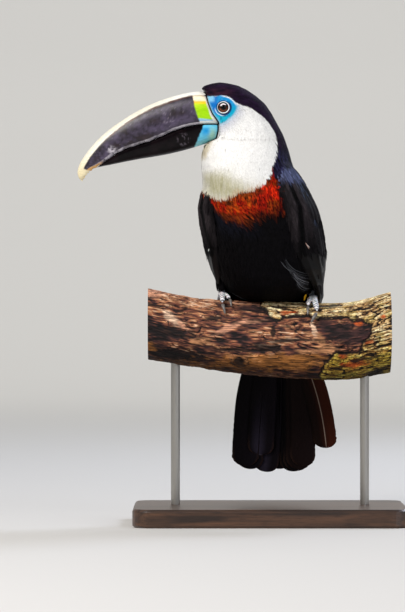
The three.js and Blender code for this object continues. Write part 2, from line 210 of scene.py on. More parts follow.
def addNode(tree, kind, settings=None, links=None):
    node = tree.nodes.new(kind)
    for key, value in (settings or {}).items():
        if isinstance(key, str) and hasattr(node, key):
            setattr(node, key, value)
        else:
            node.inputs[key].default_value = value
    for key, source in (links or {}).items():
        tree.links.new(source, node.inputs[key])
    return node


def startMaterial(name, settings):
    material = bpy.data.materials.new(name)
    material.use_nodes = True
    tree = material.node_tree
    tree.nodes.clear()
    shader = addNode(tree, "ShaderNodeBsdfPrincipled", settings)
    addNode(tree, "ShaderNodeOutputMaterial", links={"Surface": shader.outputs[0]})
    return material, tree, shader


def linkLooks(tree, shader, colour, tone=None, height=None, bump=None):
    # colour, shaded by tone, goes to the shader's base colour, and height to a bump
    if tone is not None:
        shaded = addNode(tree, "ShaderNodeMix", {"data_type": "RGBA", "blend_type": "MULTIPLY", 0: 1.0},
                         {6: colour, 7: tone})
        colour = shaded.outputs[2]
    tree.links.new(colour, shader.inputs["Base Color"])
    if height is not None:
        raised = addNode(tree, "ShaderNodeBump", bump, {"Height": height})
        tree.links.new(raised.outputs[0], shader.inputs["Normal"])


view = {
    "camera": (-74.25, -4000, 238.7),  # level with the bird's breast, 4 m off
    "lens": 213.9, "sensor": 36, "farClip": 60,
    "floor": "#cfcecc",
    "floorRings": [1, 500, 2000, 4000],
    "floorRadius": 5500,  # where the floor begins to turn up into the wall
    "wallReach": 6500, "wallHeight": 5000,
    "floorTurns": 72, "wallSteps": 12,
    "sky": "#f4f6fa", "skyStrength": 0.34,
}
# Studio lamps, in metres and watts: place, target, width of the disc, power and tint.
lamps = {
    "key": ((-1.5, -1.9, 2.3), (-0.03, 0, 0.36), 1.5, 96, "#fffaf4"),
    "fill": ((3.5, -3.5, 1.5), (-0.03, 0, 0.36), 2.2, 60, "#eef3ff"),
    "rim": ((1.5, 1.7, 1.9), (-0.03, 0, 0.36), 0.9, 36, "#e4ecff"),
    "wall": ((0, 5.5, 6.5), (0, 10.5, 0.8), 5.0, 330, "#fffdf8"),
}


def makeView():
    scene = bpy.context.scene
    camera = addThing("camera", bpy.data.cameras.new("camera"))
    camera.location = [v / 1000 for v in view["camera"]]
    camera.rotation_euler = (math.pi / 2, 0, 0)
    camera.data.sensor_width = view["sensor"]
    camera.data.lens = view["lens"]
    camera.data.clip_end = view["farClip"]
    scene.camera = camera
    scene.view_settings.view_transform = "Standard"

    # a round studio floor that turns up into a far wall
    turns = np.linspace(0, 2 * np.pi, view["floorTurns"], endpoint=False)
    bend = np.linspace(0, np.pi / 2, view["wallSteps"])
    inner = view["floorRings"]
    radii = np.concatenate([inner, view["floorRadius"] + view["wallReach"] * np.sin(bend)])
    heights = np.concatenate([np.zeros(len(inner)), view["wallHeight"] * (1 - np.cos(bend))])
    rings = np.stack([
        radii[:, None] * np.cos(turns), radii[:, None] * np.sin(turns),
        np.repeat(heights[:, None], len(turns), 1),
    ], -1)
    floor = addMesh("studioFloor", rings.reshape(-1, 3), gridFaces(len(radii), len(turns), True))
    # emulsion paint, rolled: dead matt, with a very faint mottle
    material, tree, shader = startMaterial("rolledEmulsion", {"Roughness": 0.9, "Specular IOR Level": 0.2})
    mottle = addNode(tree, "ShaderNodeTexNoise", {"Scale": 3.0, "Detail": 4.0})
    tone = addNode(tree, "ShaderNodeMapRange", {"To Min": 0.97, "To Max": 1.03}, {"Value": mottle.outputs[0]})
    base = addNode(tree, "ShaderNodeMix", {"data_type": "RGBA", "blend_type": "MULTIPLY", 0: 1.0,
                                           6: socketColour(view["floor"])}, {7: tone.outputs[0]})
    linkLooks(tree, shader, base.outputs[2])
    floor.data.materials.append(material)

    world = bpy.data.worlds.new("studio")
    world.use_nodes = True
    sky = world.node_tree.nodes["Background"]
    sky.inputs["Color"].default_value = socketColour(view["sky"])
    sky.inputs["Strength"].default_value = view["skyStrength"]
    scene.world = world
    for name, (place, target, width, power, colour) in lamps.items():
        light = bpy.data.lights.new(name, "AREA")
        light.shape = "DISK"
        light.size = width
        light.energy = power
        light.color = linear(colour)
        lamp = addThing(name, light)
        lamp.location = place
        lamp.rotation_euler = (Vector(target) - Vector(place)).to_track_quat("-Z", "Y").to_euler()


# Levels of the neck and head: height, centre x and y, heading, half width, reach to front, to back.
bodyRings = [
    [243, 3, 12, 14, 30, 28, 30], [256, 1, 10, 14, 47, 44, 46], [270, -1, 7, 14, 55, 52, 53],
    [292, -4, 3, 15, 59, 57, 58], [315, -8, -1, 18, 60, 59, 58], [344, -14, -6, 30, 57, 58, 57],
    [370, -20, -9, 48, 51, 54.5, 53], [392, -24, -9, 66, 45, 52, 49], [410, -26, -8, 80, 38.5, 49, 46],
    [426, -27, -8, 88, 32.5, 45, 41.2], [443, -32, -8, 88, 29, 48, 37], [459, -40, -8, 88, 27.5, 43, 35.5],
    [472, -47, -8, 88, 24, 33, 27], [484, -55, -8, 88, 12, 15, 12],
]
wingBed = [
    [188, 13, 60, 14, 13, 16, 12], [200, 12, 50, 14, 21, 22, 22], [222, 9, 31, 14, 36, 36, 39],
    [250, 2, 14, 14, 51, 50, 52], [270, -1, 7, 14, 55, 52, 53], [292, -4, 3, 15, 59, 57, 58],
    [315, -7.5, -1, 15, 59.8, 59, 58], [344, -13.2, -6, 15, 59.2, 57, 56], [370, -17, -8, 14, 50, 52, 52],
    [388, -19, -8, 14, 41, 43, 43], [402, -19, -8, 14, 31, 33, 33],
]
# Bearings of a folded wing's edges at each height, in degrees round from the breast.
wingEdges = [
    [189, 156, 170], [200, 140, 171], [222, 112, 170], [250, 80, 168], [275, 57, 165], [300, 46, 159],
    [330, 43, 150], [355, 43, 137], [376, 45, 122], [390, 52, 106], [398, 66, 86],
]
# The line through the middle of the body, from the bill's base to the tail's tip.
bodyAxis = [(-72, -8, 455), (-45, -8, 450), (-28, -8, 425), (-22, -9, 395), (-14, -6, 345),
            (-3, 5, 290), (5, 25, 250), (14, 58, 226), (8, 80, 52)]
bodyHeading = 14
headMiddleY = -8
billTurn = 3  # degrees the head looks back towards -Y
eyes = {"x": -52.9, "z": 455.3, "radius": 7, "face": 27.2, "out": 2.6}


def onRing(ring, ahead, aside):
    x, y, heading = ring[..., 0], ring[..., 1], np.radians(ring[..., 2])
    sin, cos = np.sin(heading), np.cos(heading)
    return x - sin * ahead + cos * aside, y - cos * ahead - sin * aside


def bearingOf(points, rings=bodyRings):
    # degrees round the neck from the line below the bill, positive to the bird's left
    ring = readTable(rings, points[:, 2])
    dx, dy, heading = points[:, 0] - ring[:, 0], points[:, 1] - ring[:, 1], np.radians(ring[:, 2])
    ahead = -np.sin(heading) * dx - np.cos(heading) * dy
    aside = np.cos(heading) * dx - np.sin(heading) * dy
    reach = np.where(ahead > 0, ring[:, 4], ring[:, 5])
    return np.degrees(np.arctan2(aside / ring[:, 3], ahead / reach))


def turnedHead(points):
    # takes what is built in the head's mid plane, y = 0, onto the head
    points = np.array(points, float)
    turn = math.radians(billTurn)
    x, y = points[..., 0] - eyes["x"], points[..., 1]
    return np.stack([
        eyes["x"] + x * math.cos(turn) - y * math.sin(turn),
        headMiddleY + x * math.sin(turn) + y * math.cos(turn), points[..., 2],
    ], -1)


def wingPoint(side, across, height, lift):
    # a point over a folded wing: across it from leading to trailing edge, and down it by height
    bed, edges = readTable(wingBed, height), readTable(wingEdges, height)
    bearing = np.radians(side * (edges[..., 0] * (1 - across) + edges[..., 1] * across))
    ahead, aside = np.cos(bearing), np.sin(bearing)
    reach = np.where(ahead > 0, bed[..., 4], bed[..., 5])
    x, y = onRing(bed, ahead * (reach + lift), aside * (bed[..., 3] + lift))
    return np.stack([x, y, height + 0 * x], -1)


def wingAcross(points):
    # the share across a folded wing at which each point lies
    edges = readTable(wingEdges, points[:, 2])
    return (np.abs(bearingOf(points, wingBed)) - edges[:, 0]) / (edges[:, 1] - edges[:, 0])


def wingSkinLift(across):
    # how far the folded wing's outside stands off the body's side
    return 7.6 * (0.38 + 0.62 * (1 - np.clip(2 * across - 1, -1, 1) ** 2) ** 0.4)


# Lower edge of the white bib, and of the red band under it: bearing, height.
bibEdge = [(-180, 900), (-150, 900), (-144.5, 430), (-139, 421), (-129.5, 410), (-117, 402.6), (-101.5, 392.7),
           (-95, 388), (-70, 374), (-38.5, 366), (-27, 361), (-18, 357), (-9.5, 354.6), (0, 354.2), (9, 356.4),
           (21, 360.8), (31, 361.9), (42, 364.1), (54, 367.4), (62.5, 369.6), (76.5, 376.2), (86, 381.7),
           (95.5, 388.3), (101.5, 392.7), (117, 402.6), (129.5, 410.3), (139, 421.3), (144.5, 430.1),
           (150, 900), (180, 900)]
bandEdge = [(-180, 900), (-100, 388), (-70, 364), (-45, 360), (-30, 355.3), (-24, 340), (-18, 332.2), (-8, 331.1),
            (-0.5, 328.9), (6, 326.7), (13, 331.1), (25.5, 336.6), (35, 337.7), (44, 335.5), (56.5, 342.1),
            (68.5, 355.3), (83, 371.8), (94.5, 386.1), (100, 392), (180, 900)]
# The black cap seen from the side, as x and z: its lower edge, then round far outside the head.
capOutline = [(4.3, 378.8), (2.6, 391.4), (5.9, 401.2), (8.1, 408.8), (7, 419.7), (4.8, 428.4), (-0.6, 437.2),
              (-7.2, 444.6), (-15.6, 451.2), (-22.5, 455.2), (-30.1, 457.3), (-35.5, 459.4), (-38.7, 461.3),
              (-41, 463.4), (-44.6, 466.2), (-49.2, 467.8), (-53.8, 468.3), (-62.8, 467.6), (-68.3, 467.1),
              (-90, 469), (-90, 520), (60, 520), (60, 378)]
# The bare blue skin round the eye, as x and z.
barePatch = [(-69.4, 467.9), (-62.8, 468), (-53.8, 468.7), (-49.2, 468), (-44.6, 466.4), (-41, 463.7),
             (-38.7, 460.9), (-36.9, 457.8), (-37.1, 453.7), (-39.1, 450), (-41.9, 446.4), (-45.6, 443.3),
             (-49.2, 440.1), (-51.9, 438.7), (-56, 437.2), (-60, 441.5), (-64, 448), (-67.5, 458)]
# The grey shadow on the cheek, as x and z.
cheekLine = [(-56, 434), (-46, 440), (-37, 451)]
# Where skin meets horn, from the culmen down to the chin, in the head's mid plane.
billBase = [(-76, 475.6), (-70.5, 469), (-68, 459), (-64, 449), (-57, 439), (-57, 430), (-58.5, 421.5)]

plumage = {
    "black": "#050406",
    "cap": "#1a1020",
    "capBrown": "#5a2c18",
    "capPurple": "#2e1b3a",
    # painted sheen on the black plumage: violet on the nape, slate blue on the shoulder
    "mantleSheen": "#2c2a50",
    "shoulder": "#4f5678",
    "white": "#f0f0ee",
    "bibGrey": "#c9c6b6",
    "bibYellow": "#a8a47c",
    "cheekGrey": "#d3d6e2",
    "cheekBlue": "#a4d4ee",
    "chin": "#c9bda0",
    "red": "#8a1404",
    "orange": "#b14c0c",
    "brown": "#5c2c0e",
    "darkRed": "#1c0603",
    "haze": "#b07f52",
    "rumpYellow": "#e2c456",
    "ventRed": "#8f150a",
    # painted sheen: blue-grey on the black of the chest
    "breastSheen": "#0c0e18",
}


def markings(points):
    # the coat's colour at places on the body, and how white and how red it is there
    x, y, z = points.T
    tint = tintsOf(plumage)
    bearing = bearingOf(points)
    ragged = 1.3 * noise(points, 5, 1) + 0.8 * noise(points, 2, 2)
    edge, drop = valueAt(bibEdge, bearing), valueAt(bandEdge, bearing)
    above = z + ragged - edge
    cap = insideDistance(np.column_stack([x, z + 0.3 * ragged]), capOutline)
    white = between(-0.6, 0.6, above) * between(0.5, -0.5, cap)
    white = np.where(z > 432, between(0.4, -0.4, cap), white)

    streak = noise(points * [1, 1, 0.16], 1.6, 3)
    clump = fractal(points, 9, 2, 7)
    fleck = noise(points * [0.35, 1, 1], 1.8, 8)
    below = z + 2.5 * ragged + 4 * streak - drop
    red = between(-3, 4, below) * (1 - white) * (np.abs(bearing) < 104) * (z < 396)
    share = clamped((z - drop) / np.maximum(edge - drop, 3))  # up the red band

    # painted sheen: faint blue-grey on the middle of the chest
    breastSheen = between(-45, -15, bearing) * between(25, 0, bearing) * between(310, 330, z)
    brow = between(-36, -50, x) * between(466, 469, z) * between(480, 472, z)
    # painted sheen: violet on the black at the sides of the neck
    mantleSheen = between(62, 92, np.abs(bearing)) * between(374, 384, z) * between(414, 402, z)
    black = layered(
        tint["black"], tint,
        ("cap", between(395, 440, z)),
        ("breastSheen", breastSheen * 0.8),
        ("capBrown", clamped(brow * (0.25 + 0.9 * fleck))),
        ("capPurple", between(395, 420, z) * np.clip(0.3 + 0.6 * fleck, 0, 0.8)),
        ("mantleSheen", clamped(mantleSheen * (0.45 + 0.7 * streak))))

    flat = points[:, [0, 2]]
    low = between(394, 364, z + 5 * noise(points, 14, 5)) * between(-66, -25, bearing) * between(80, 38, bearing)
    middle = (between(-32, -5, bearing) * between(50, 18, bearing)
              * between(352, 366, z) * between(392, 376, z))
    haze = between(4.5, 0.5, above) * between(80, 50, bearing) * (z < 392) * (0.35 + 0.3 * streak)
    cheek = between(13, 0, lineDistance(flat, cheekLine)) * (z > 424)
    nearBare = between(-4.5, -0.5, insideDistance(flat, barePatch)) * (z < 458) * (z > 434)
    chin = between(2.5, -2.5, x + 64.5 - (z - 415.8) * 0.4) * between(396, 404, z)
    bib = layered(
        tint["white"], tint,
        ("bibGrey", clamped(low * (0.8 + 0.22 * streak))),
        ("bibYellow", clamped(middle * (0.68 + 0.2 * streak))),
        ("haze", haze), ("cheekGrey", 0.8 * cheek), ("cheekBlue", 0.75 * nearBare), ("chin", 0.85 * chin))

    warm = layered(
        tint["red"], tint,
        ("orange", clamped(0.38 + 0.6 * streak + 0.5 * clump - 0.3 * between(20, 60, bearing))),
        ("brown", between(0.72, 1.0, share) * 0.75),
        ("brown", between(0.55, 0.2, share) * between(24, -8, bearing) * 0.7),
        ("darkRed", between(0.5, 0.05, share) * 0.7),
        ("darkRed", np.clip(clump * 1.7 - 0.25, 0, 0.85)))
    bandHighlight = np.hypot((bearing - 66) * 0.9, z - 363) < 9 + 6 * clump  # painted highlight: the band's brightly lit end
    warm = mixed(warm, tint["red"] * 3.2, bandHighlight * clamped(0.6 + streak) * 0.9)
    result = mixed(mixed(black, warm, red), bib, white)

    rump = between(56, 66, y - 0.15 * (z - 230)) * between(283, 268, z)
    vent = between(250, 242, z) * between(52, 44, y - 0.1 * (230 - z)) * between(30, 38, y)
    result = layered(result, tint, ("rumpYellow", rump), ("ventRed", vent * (1 - rump)))
    return result, white, red


def nodeMesh(name, grow=0.0):
    # a copy of a CAD solid with its split corners welded, pushed out by "grow"
    shape = bmesh.new()
    shape.from_mesh(nodes[name].data)
    bmesh.ops.remove_doubles(shape, verts=shape.verts, dist=1e-5)
    shape.normal_update()
    for vertex in shape.verts:
        vertex.co += vertex.normal * grow / 1000
    return meshFrom(shape, name + "Copy")


def remeshed(growth, voxel):
    # points and quads of one even skin round several solids; growth is named by node
    joined = bmesh.new()
    for name, grow in growth.items():
        joined.from_mesh(nodeMesh(name, grow))
    thing = addThing("joined", meshFrom(joined, "joined"))
    modifier = thing.modifiers.new("voxels", "REMESH")
    modifier.mode = "VOXEL"
    modifier.voxel_size = voxel / 1000
    made = thing.evaluated_get(bpy.context.evaluated_depsgraph_get()).to_mesh()
    points = pointsOf(made)
    quads = np.empty(len(made.loops), np.int64)
    made.loops.foreach_get("vertex_index", quads)
    bpy.data.objects.remove(thing)
    return points, quads.reshape(-1, 4)


def edgesOf(quads):
    pairs = np.vstack([quads[:, [k, (k + 1) % 4]] for k in range(4)])
    return np.unique(np.sort(pairs, axis=1), axis=0)


def relaxed(points, quads, rounds):
    # evens out facets without shrinking: a pull inwards, then a slightly larger push outwards
    edges = edgesOf(quads)
    count = np.bincount(edges.ravel(), minlength=len(points))[:, None]
    for step in range(2 * rounds):
        total = np.stack([
            np.bincount(edges[:, 0], points[edges[:, 1], k], len(points))
            + np.bincount(edges[:, 1], points[edges[:, 0], k], len(points)) for k in range(3)
        ], 1)
        points = points + (0.6 if step % 2 == 0 else -0.62) * (total / count - points)
    return points


def surfaceOf(points, quads):
    a, b, c, d = (points[quads[:, k]] for k in range(4))
    cross = np.cross(c - a, d - b)
    normals = np.stack([
        sum(np.bincount(quads[:, k], cross[:, j], len(points)) for k in range(4)) for j in range(3)
    ], 1)
    normals = unit(normals)
    return {
        "points": points, "quads": quads, "normals": normals, "middles": (a + b + c + d) / 4,
        "faceNormals": unit(normals[quads].mean(axis=1)), "areas": np.linalg.norm(cross, axis=1) / 2,
        "tree": BVHTree.FromPolygons(points.tolist(), quads.tolist()),
    }


def nearest(surface, places):
    hits = [surface["tree"].find_nearest(place) for place in places.tolist()]
    faces = np.array([hit[2] for hit in hits])
    return np.array([tuple(hit[0]) for hit in hits]), surface["faceNormals"][faces]


def distanceTo(names, places):
    trees = []
    for name in names:
        mesh = nodeMesh(name)
        corners = [tuple(vertex.co * 1000) for vertex in mesh.vertices]
        trees.append(BVHTree.FromPolygons(corners, [tuple(face.vertices) for face in mesh.polygons]))
    return np.array([min(tree.find_nearest(place)[3] for tree in trees) for place in places.tolist()])


def eyeFrame(side, points):
    # places in an eye's own frame: along the head, up, and out of the face
    centre = turnedHead([eyes["x"], -side * (eyes["face"] + eyes["out"] - eyes["radius"]), eyes["z"]])
    out = turnedHead([eyes["x"], -side, 0]) - turnedHead([eyes["x"], 0, 0])
    along = turnedHead([eyes["x"] + 1, 0, 0]) - turnedHead([eyes["x"], 0, 0])
    away = points - centre
    return away @ along, away[:, 2], away @ out, out, centre


def makeForm():
    # one smooth surface round all the flesh, out to the feather tips
    growth = {name: 0.4 for name in ("head", "neck", "trunk", "wing_left", "wing_right")}
    growth.update({"eye_left": 0.6, "eye_right": 0.6})
    points, quads = remeshed(growth, 1.3)
    points = relaxed(points, quads, 12)
    # round each eye the face is first made level, as a curved sheet fitted further out
    for side in (1, -1):
        u, v, depth, out, _ = eyeFrame(side, points)
        reach = np.hypot(u, v)
        terms = np.column_stack([np.ones(len(u)), u, v, u * u, u * v, v * v])
        ring = (reach > 9.5) & (reach < 15) & (depth > 0) & (u > -13)
        fit = np.linalg.lstsq(terms[ring], depth[ring], rcond=None)[0]
        share = between(11, 9, reach) * (depth > -2)
        points = points + ((terms @ fit - depth) * share)[:, None] * out
    return surfaceOf(points, quads)


skinSizes = {
    "capDepth": 1.2, "bibDepth": 2.0, "bodyDepth": 3.2, "wingDepth": 1.0, "bareDepth": 0.35,
    # the eyelids and folds: distance from the eye's middle, height above the face
    "lidLine": [(0, -3.4), (5.0, -2.2), (5.3, -0.4), (5.75, 0.35), (6.3, 0.7), (6.9, 0.3), (7.5, -0.15),
                (8.2, 0.15), (9.2, -0.12), (10.4, 0.08), (12, 0)],
    # radii of the painted rings round the eye
    "slit": 5.6, "whiteRing": 6.12, "lidShadowRing": 7.05, "navyRing": 8.0, "paleRing": 9.0,
    "fineRadius": 12.5,  # round each eye the mesh is four times finer
    "scutes": 44, "scuteReach": 3.1,  # rows of scutes, and how far round each toe they are counted over
    "yellowSpot": (39.5, 249.5),
}
skinTints = {
    "blue": "#0090cf", "deepBlue": "#0060bb", "turquoise": "#00a9c6", "teal": "#045a72", "paleBlue": "#8fd4f2",
    "lidPale": "#f2f4f6", "lidShade": "#040509", "navy": "#041c50", "edge": "#e2f0f8", "lore": "#060607",
    "legPale": "#f4f4f7", "legBlue": "#8f95a2", "legJoint": "#0e0d0f", "legYellow": "#d8a51e",
}


def coatDepth(points, wingShare):
    # how far under the feather tips the skin lies
    z = points[:, 2]
    depth = skinSizes["capDepth"] + (skinSizes["bibDepth"] - skinSizes["capDepth"]) * between(430, 405, z)
    depth = depth + (skinSizes["bodyDepth"] - skinSizes["bibDepth"]) * between(365, 335, z)
    depth = depth + (skinSizes["wingDepth"] - depth) * wingShare
    bare = between(-2.5, -0.5, insideDistance(points[:, [0, 2]], barePatch)) * between(435, 438, z)
    return depth + (skinSizes["bareDepth"] - depth) * bare


def faceColour(points):
    # bare blue skin, with rings of its own round the eye
    tint = tintsOf(skinTints)
    side = np.where(points[:, 1] < headMiddleY, 1, -1)
    flat = points[:, [0, 2]]
    edge, base = insideDistance(flat, barePatch), lineDistance(flat, billBase)
    grain, cloud = noise(points, 1.4, 11), fractal(points, 4.5, 3, 13)
    patches, stroke = noise(points, 2.2, 12), noise(points * [1, 1, 0.45], 1.5, 14)
    result = np.zeros((len(points), 3))
    for one in (1, -1):
        u, v = eyeFrame(one, points)[:2]
        r, angle = np.hypot(u, v), np.degrees(np.arctan2(v, u))
        turn = np.minimum(np.abs(angle + 35), 360 - np.abs(angle + 35))
        fromRing = {name: np.abs(r - skinSizes[name]) for name in ("whiteRing", "lidShadowRing", "navyRing", "paleRing")}
        colour = layered(
            tint["blue"], tint,
            ("turquoise", between(-2, -12, v + 4 * cloud)),
            ("turquoise", between(1, 9, u + 4 * cloud) * between(6, -4, v) * 0.7),
            ("teal", between(0.1, 0.6, stroke) * between(-7.5, -9.5, v) * between(-9, -4, u) * 0.75),
            ("deepBlue", between(-5, -9, u - 3 * cloud) * between(-9, -3, v) * 0.75),
            ("deepBlue", between(11.0, 8.5, r + cloud) * 0.35),
            ("paleBlue", clamped(0.3 * patches + 0.2 * grain - 0.12)),
            ("paleBlue", between(2.8, 1.2, base) * 0.75),
            # painted highlight: pale blue on the upper front of the bare skin
            ("paleBlue", between(-8, -12, u) * between(4, 9, v) * 0.8),
            ("navy", between(1.4, 0.8, fromRing["navyRing"]) * between(100, 55, turn) * 0.9),
            ("edge", between(0.55, 0.25, fromRing["paleRing"]) * 0.8 * between(55, 25, np.abs(angle + 130))),
            # painted shade along the fold outside the lid
            ("lidShade", between(0.6, 0.3, fromRing["lidShadowRing"]) * 0.9),
            ("lidPale", between(0.58, 0.34, fromRing["whiteRing"])),
            # painted shade in the gap where the lids meet the eye
            ("lidShade", between(skinSizes["slit"] + 0.1, skinSizes["slit"] - 0.1, r)),
            ("edge", between(2.0, 0.6, edge) * between(-5, 3, u) * between(1, 5, v)),
            ("lore", between(1.3, 0.8, base)))
        result = np.where((side == one)[:, None], colour, result)
    return result


def bodySkin(form, wingShare):
    points = form["points"] - form["normals"] * coatDepth(form["points"], wingShare)[:, None]
    base = bpy.data.meshes.new("base")
    base.from_pydata((points / 1000).tolist(), [], form["quads"].tolist())
    shape = bmesh.new()
    shape.from_mesh(base)
    eyeMiddles = [Vector(eyeFrame(side, points)[4] / 1000) for side in (1, -1)]
    fine = skinSizes["fineRadius"] / 1000
    near = [edge for edge in shape.edges if any(
        math.hypot(edge.verts[0].co.x - middle.x, edge.verts[0].co.z - middle.z) < fine
        and abs(edge.verts[0].co.y - middle.y) < 0.012 for middle in eyeMiddles)]
    bmesh.ops.subdivide_edges(shape, edges=near, cuts=3, use_grid_fill=True)
    mesh = meshFrom(shape, "skin")
    points = pointsOf(mesh)
    for side in (1, -1):
        u, v, depth, out, _ = eyeFrame(side, points)
        r = np.hypot(u, v * 1.03)
        lid = readTable(skinSizes["lidLine"], r)[:, 0]
        lid = lid + 0.06 * np.sin(r * 9) * between(7, 8, r) * between(13, 9, r)  # fine folds further out
        points = points + (lid * (depth > 0) * (r < 12))[:, None] * out
    colours = markings(points)[0]
    bare = between(-0.4, 0.4, insideDistance(points[:, [0, 2]], barePatch)) * between(435, 437, points[:, 2])
    wrinkle = 0.10 * fractal(points, 1.6, 2, 21) * bare
    mesh.vertices.foreach_set("co", ((points + wrinkle[:, None] * [0, 1, 0]) / 1000).ravel())
    return mesh, mixed(colours * 0.8, faceColour(points), bare)


def legSkin():
    # the legs and toes, with a row of scutes along their upper side
    points, quads = remeshed({"leg_left": 0, "leg_right": 0}, 0.55)
    points = relaxed(points, quads, 3)
    normals = surfaceOf(points, quads)["normals"]
    x, y, z = points.T
    angle = np.degrees(np.arctan2(-y, z - 200))
    ridge = np.abs(np.sin(np.radians(angle) * skinSizes["scutes"] / skinSizes["scuteReach"] * np.pi))
    onTop = between(0.1, 0.5, normals[:, 2] * 0.6 + normals[:, 1] * np.sign(y) * 0.4 + 0.3)
    points = points + normals * ((ridge ** 0.4 - 0.7) * 0.6 * onTop)[:, None]
    tint = tintsOf(skinTints)
    x, y, z = points.T
    spotX, spotZ = skinSizes["yellowSpot"]
    colours = layered(
        tint["legPale"], tint,
        ("legBlue", clamped(0.1 + 0.6 * noise(points, 2.2, 31))),
        ("legBlue", 1 - onTop),
        ("legJoint", between(0.55, 0.3, ridge + 0.15 * noise(points, 1, 32)) * (0.5 + 0.5 * onTop)),
        ("legYellow", between(3.6, 2.0, np.hypot(x - spotX, z - spotZ))),
        ("lore", between(255.5, 257.5, z)))
    return addMesh("feet", points, quads), colours


def makeSkin(form, wingShare, material):
    body, bodyColours = bodySkin(form, wingShare)
    feet, legColours = legSkin()
    whole = bmesh.new()
    whole.from_mesh(body)
    whole.from_mesh(feet.data)
    mesh = meshFrom(whole, "skin")
    bpy.data.objects.remove(feet)
    skin = addThing("skin", mesh)
    mesh.polygons.foreach_set("use_smooth", np.ones(len(mesh.polygons), bool))
    paint(skin, "tint", np.vstack([bodyColours, legColours]))
    finish(skin, material, "plumage", "head", "neck", "trunk", "wing_left", "wing_right", "leg_left", "leg_right")


# Every lock and vane is a curved strip, its root under the coat and its tip at the outline.
axisLine = smoothLine(bodyAxis, 90)
axisWay = unit(np.gradient(axisLine, axis=0))
patch = 3 / 1000  # width and length of each feather's own place on the flat map


def awayFromAxis(points):
    return ((points[:, None] - axisLine[None]) ** 2).sum(-1)


def lieOf(points):
    # which way feathers lie: along the body's middle line, from the bill to the tail
    away = awayFromAxis(points)
    weight = np.exp(-(away - away.min(axis=1, keepdims=True)) / 180)
    return unit(weight @ axisWay)


def unwrap(points):
    # the skin laid flat: how far along the body's line, and which way round it
    at = awayFromAxis(points).argmin(axis=1)
    way = axisWay[at]
    side = unit(np.cross(way, [0.0, 1.0, 0.02]))
    up = np.cross(side, way)
    offset = points - axisLine[at]
    turn = np.arctan2((offset * side).sum(1), (offset * up).sum(1)) / (2 * np.pi) + 0.5
    return np.column_stack([0.02 + 0.96 * turn, 0.02 + 0.96 * at / len(axisLine)])


def layFlat(thing, faces, uv):
    layer = thing.data.uv_layers.new(name="OFBake")
    layer.data.foreach_set("uv", uv[faces.ravel()].ravel())


def tangent(ways, normals):
    return unit(ways - normals * (ways * normals).sum(-1, keepdims=True))


def turned(ways, normals, angles):
    angles = angles[:, None]
    return ways * np.cos(angles) + np.cross(normals, ways) * np.sin(angles)


def addStrips(name, lines, normals, halfWidths, camber, tints, shades, material, columns=3, slot="plumage",
              soft=0.5):
    # lines and normals are (strip, station, 3); halfWidths (strip, station); tints (strip, station, 3);
    # soft: how little a strip's own camber shows in the light
    count, stations = lines.shape[:2]
    ways = unit(np.gradient(lines, axis=1))
    sides = unit(np.cross(normals, ways))
    ups = np.cross(ways, sides)
    across, along = np.linspace(-1, 1, columns), np.linspace(0, 1, stations)
    half = halfWidths[:, :, None, None]
    spread = half * across[:, None] * sides[:, :, None]
    drop = -camber * half * (across ** 2)[:, None] * ups[:, :, None]
    points = (lines[:, :, None] + spread + drop).reshape(-1, 3)
    one = gridFaces(stations, columns)
    faces = (one[None, :, ::-1] + (np.arange(count) * stations * columns)[:, None, None]).reshape(-1, 4)
    thing = addMesh(name, points, faces)
    lean = 2 * camber * (1 - soft) * across[:, None] * sides[:, :, None]
    facing = unit(normals[:, :, None] + lean).reshape(-1, 3)
    thing.data.normals_split_custom_set_from_vertices(facing.tolist())
    paint(thing, "tint", np.repeat(tints.reshape(-1, 3), columns, axis=0))
    size = (count, stations, columns)
    vane = [across * 0.5 + 0.5, along[:, None], shades[:, None, None]]
    paint(thing, "vane", np.stack([np.broadcast_to(one, size) for one in vane], -1).reshape(-1, 3))
    local = np.stack(np.broadcast_arrays(across[None] * patch / 2, (along[:, None] - 0.5) * patch), -1)
    layFlat(thing, faces, (unwrap(lines[:, 0])[:, None, None] + local[None]).reshape(-1, 2))
    finish(thing, material, slot)
    print("  ", name, count, "strips,", len(faces) * 2, "triangles")


def rootsOn(form, chance, random):
    # random places on the form, "chance" of them to each square millimetre of each face
    number = np.floor(form["areas"] * chance + random.random(len(chance))).astype(int)
    faces = np.repeat(np.arange(len(chance)), number)
    u, v = random.random((2, len(faces), 1))
    a, b, c, d = (form["points"][form["quads"][faces, k]] for k in range(4))
    points = (a * (1 - u) + b * u) * (1 - v) + (d * (1 - u) + c * u) * v
    return points, form["faceNormals"][faces]


tapered = [(0, 0.5), (0.35, 1), (0.7, 0.85), (1, 0.08)]
rounded = [(0, 0.4), (0.3, 0.9), (0.65, 1), (0.88, 0.75), (1, 0.12)]
# painted shade: each lock darkens towards its root, under the locks that lie over it
rootShade = [(0, 0.75), (0.5, 1), (1, 1)]

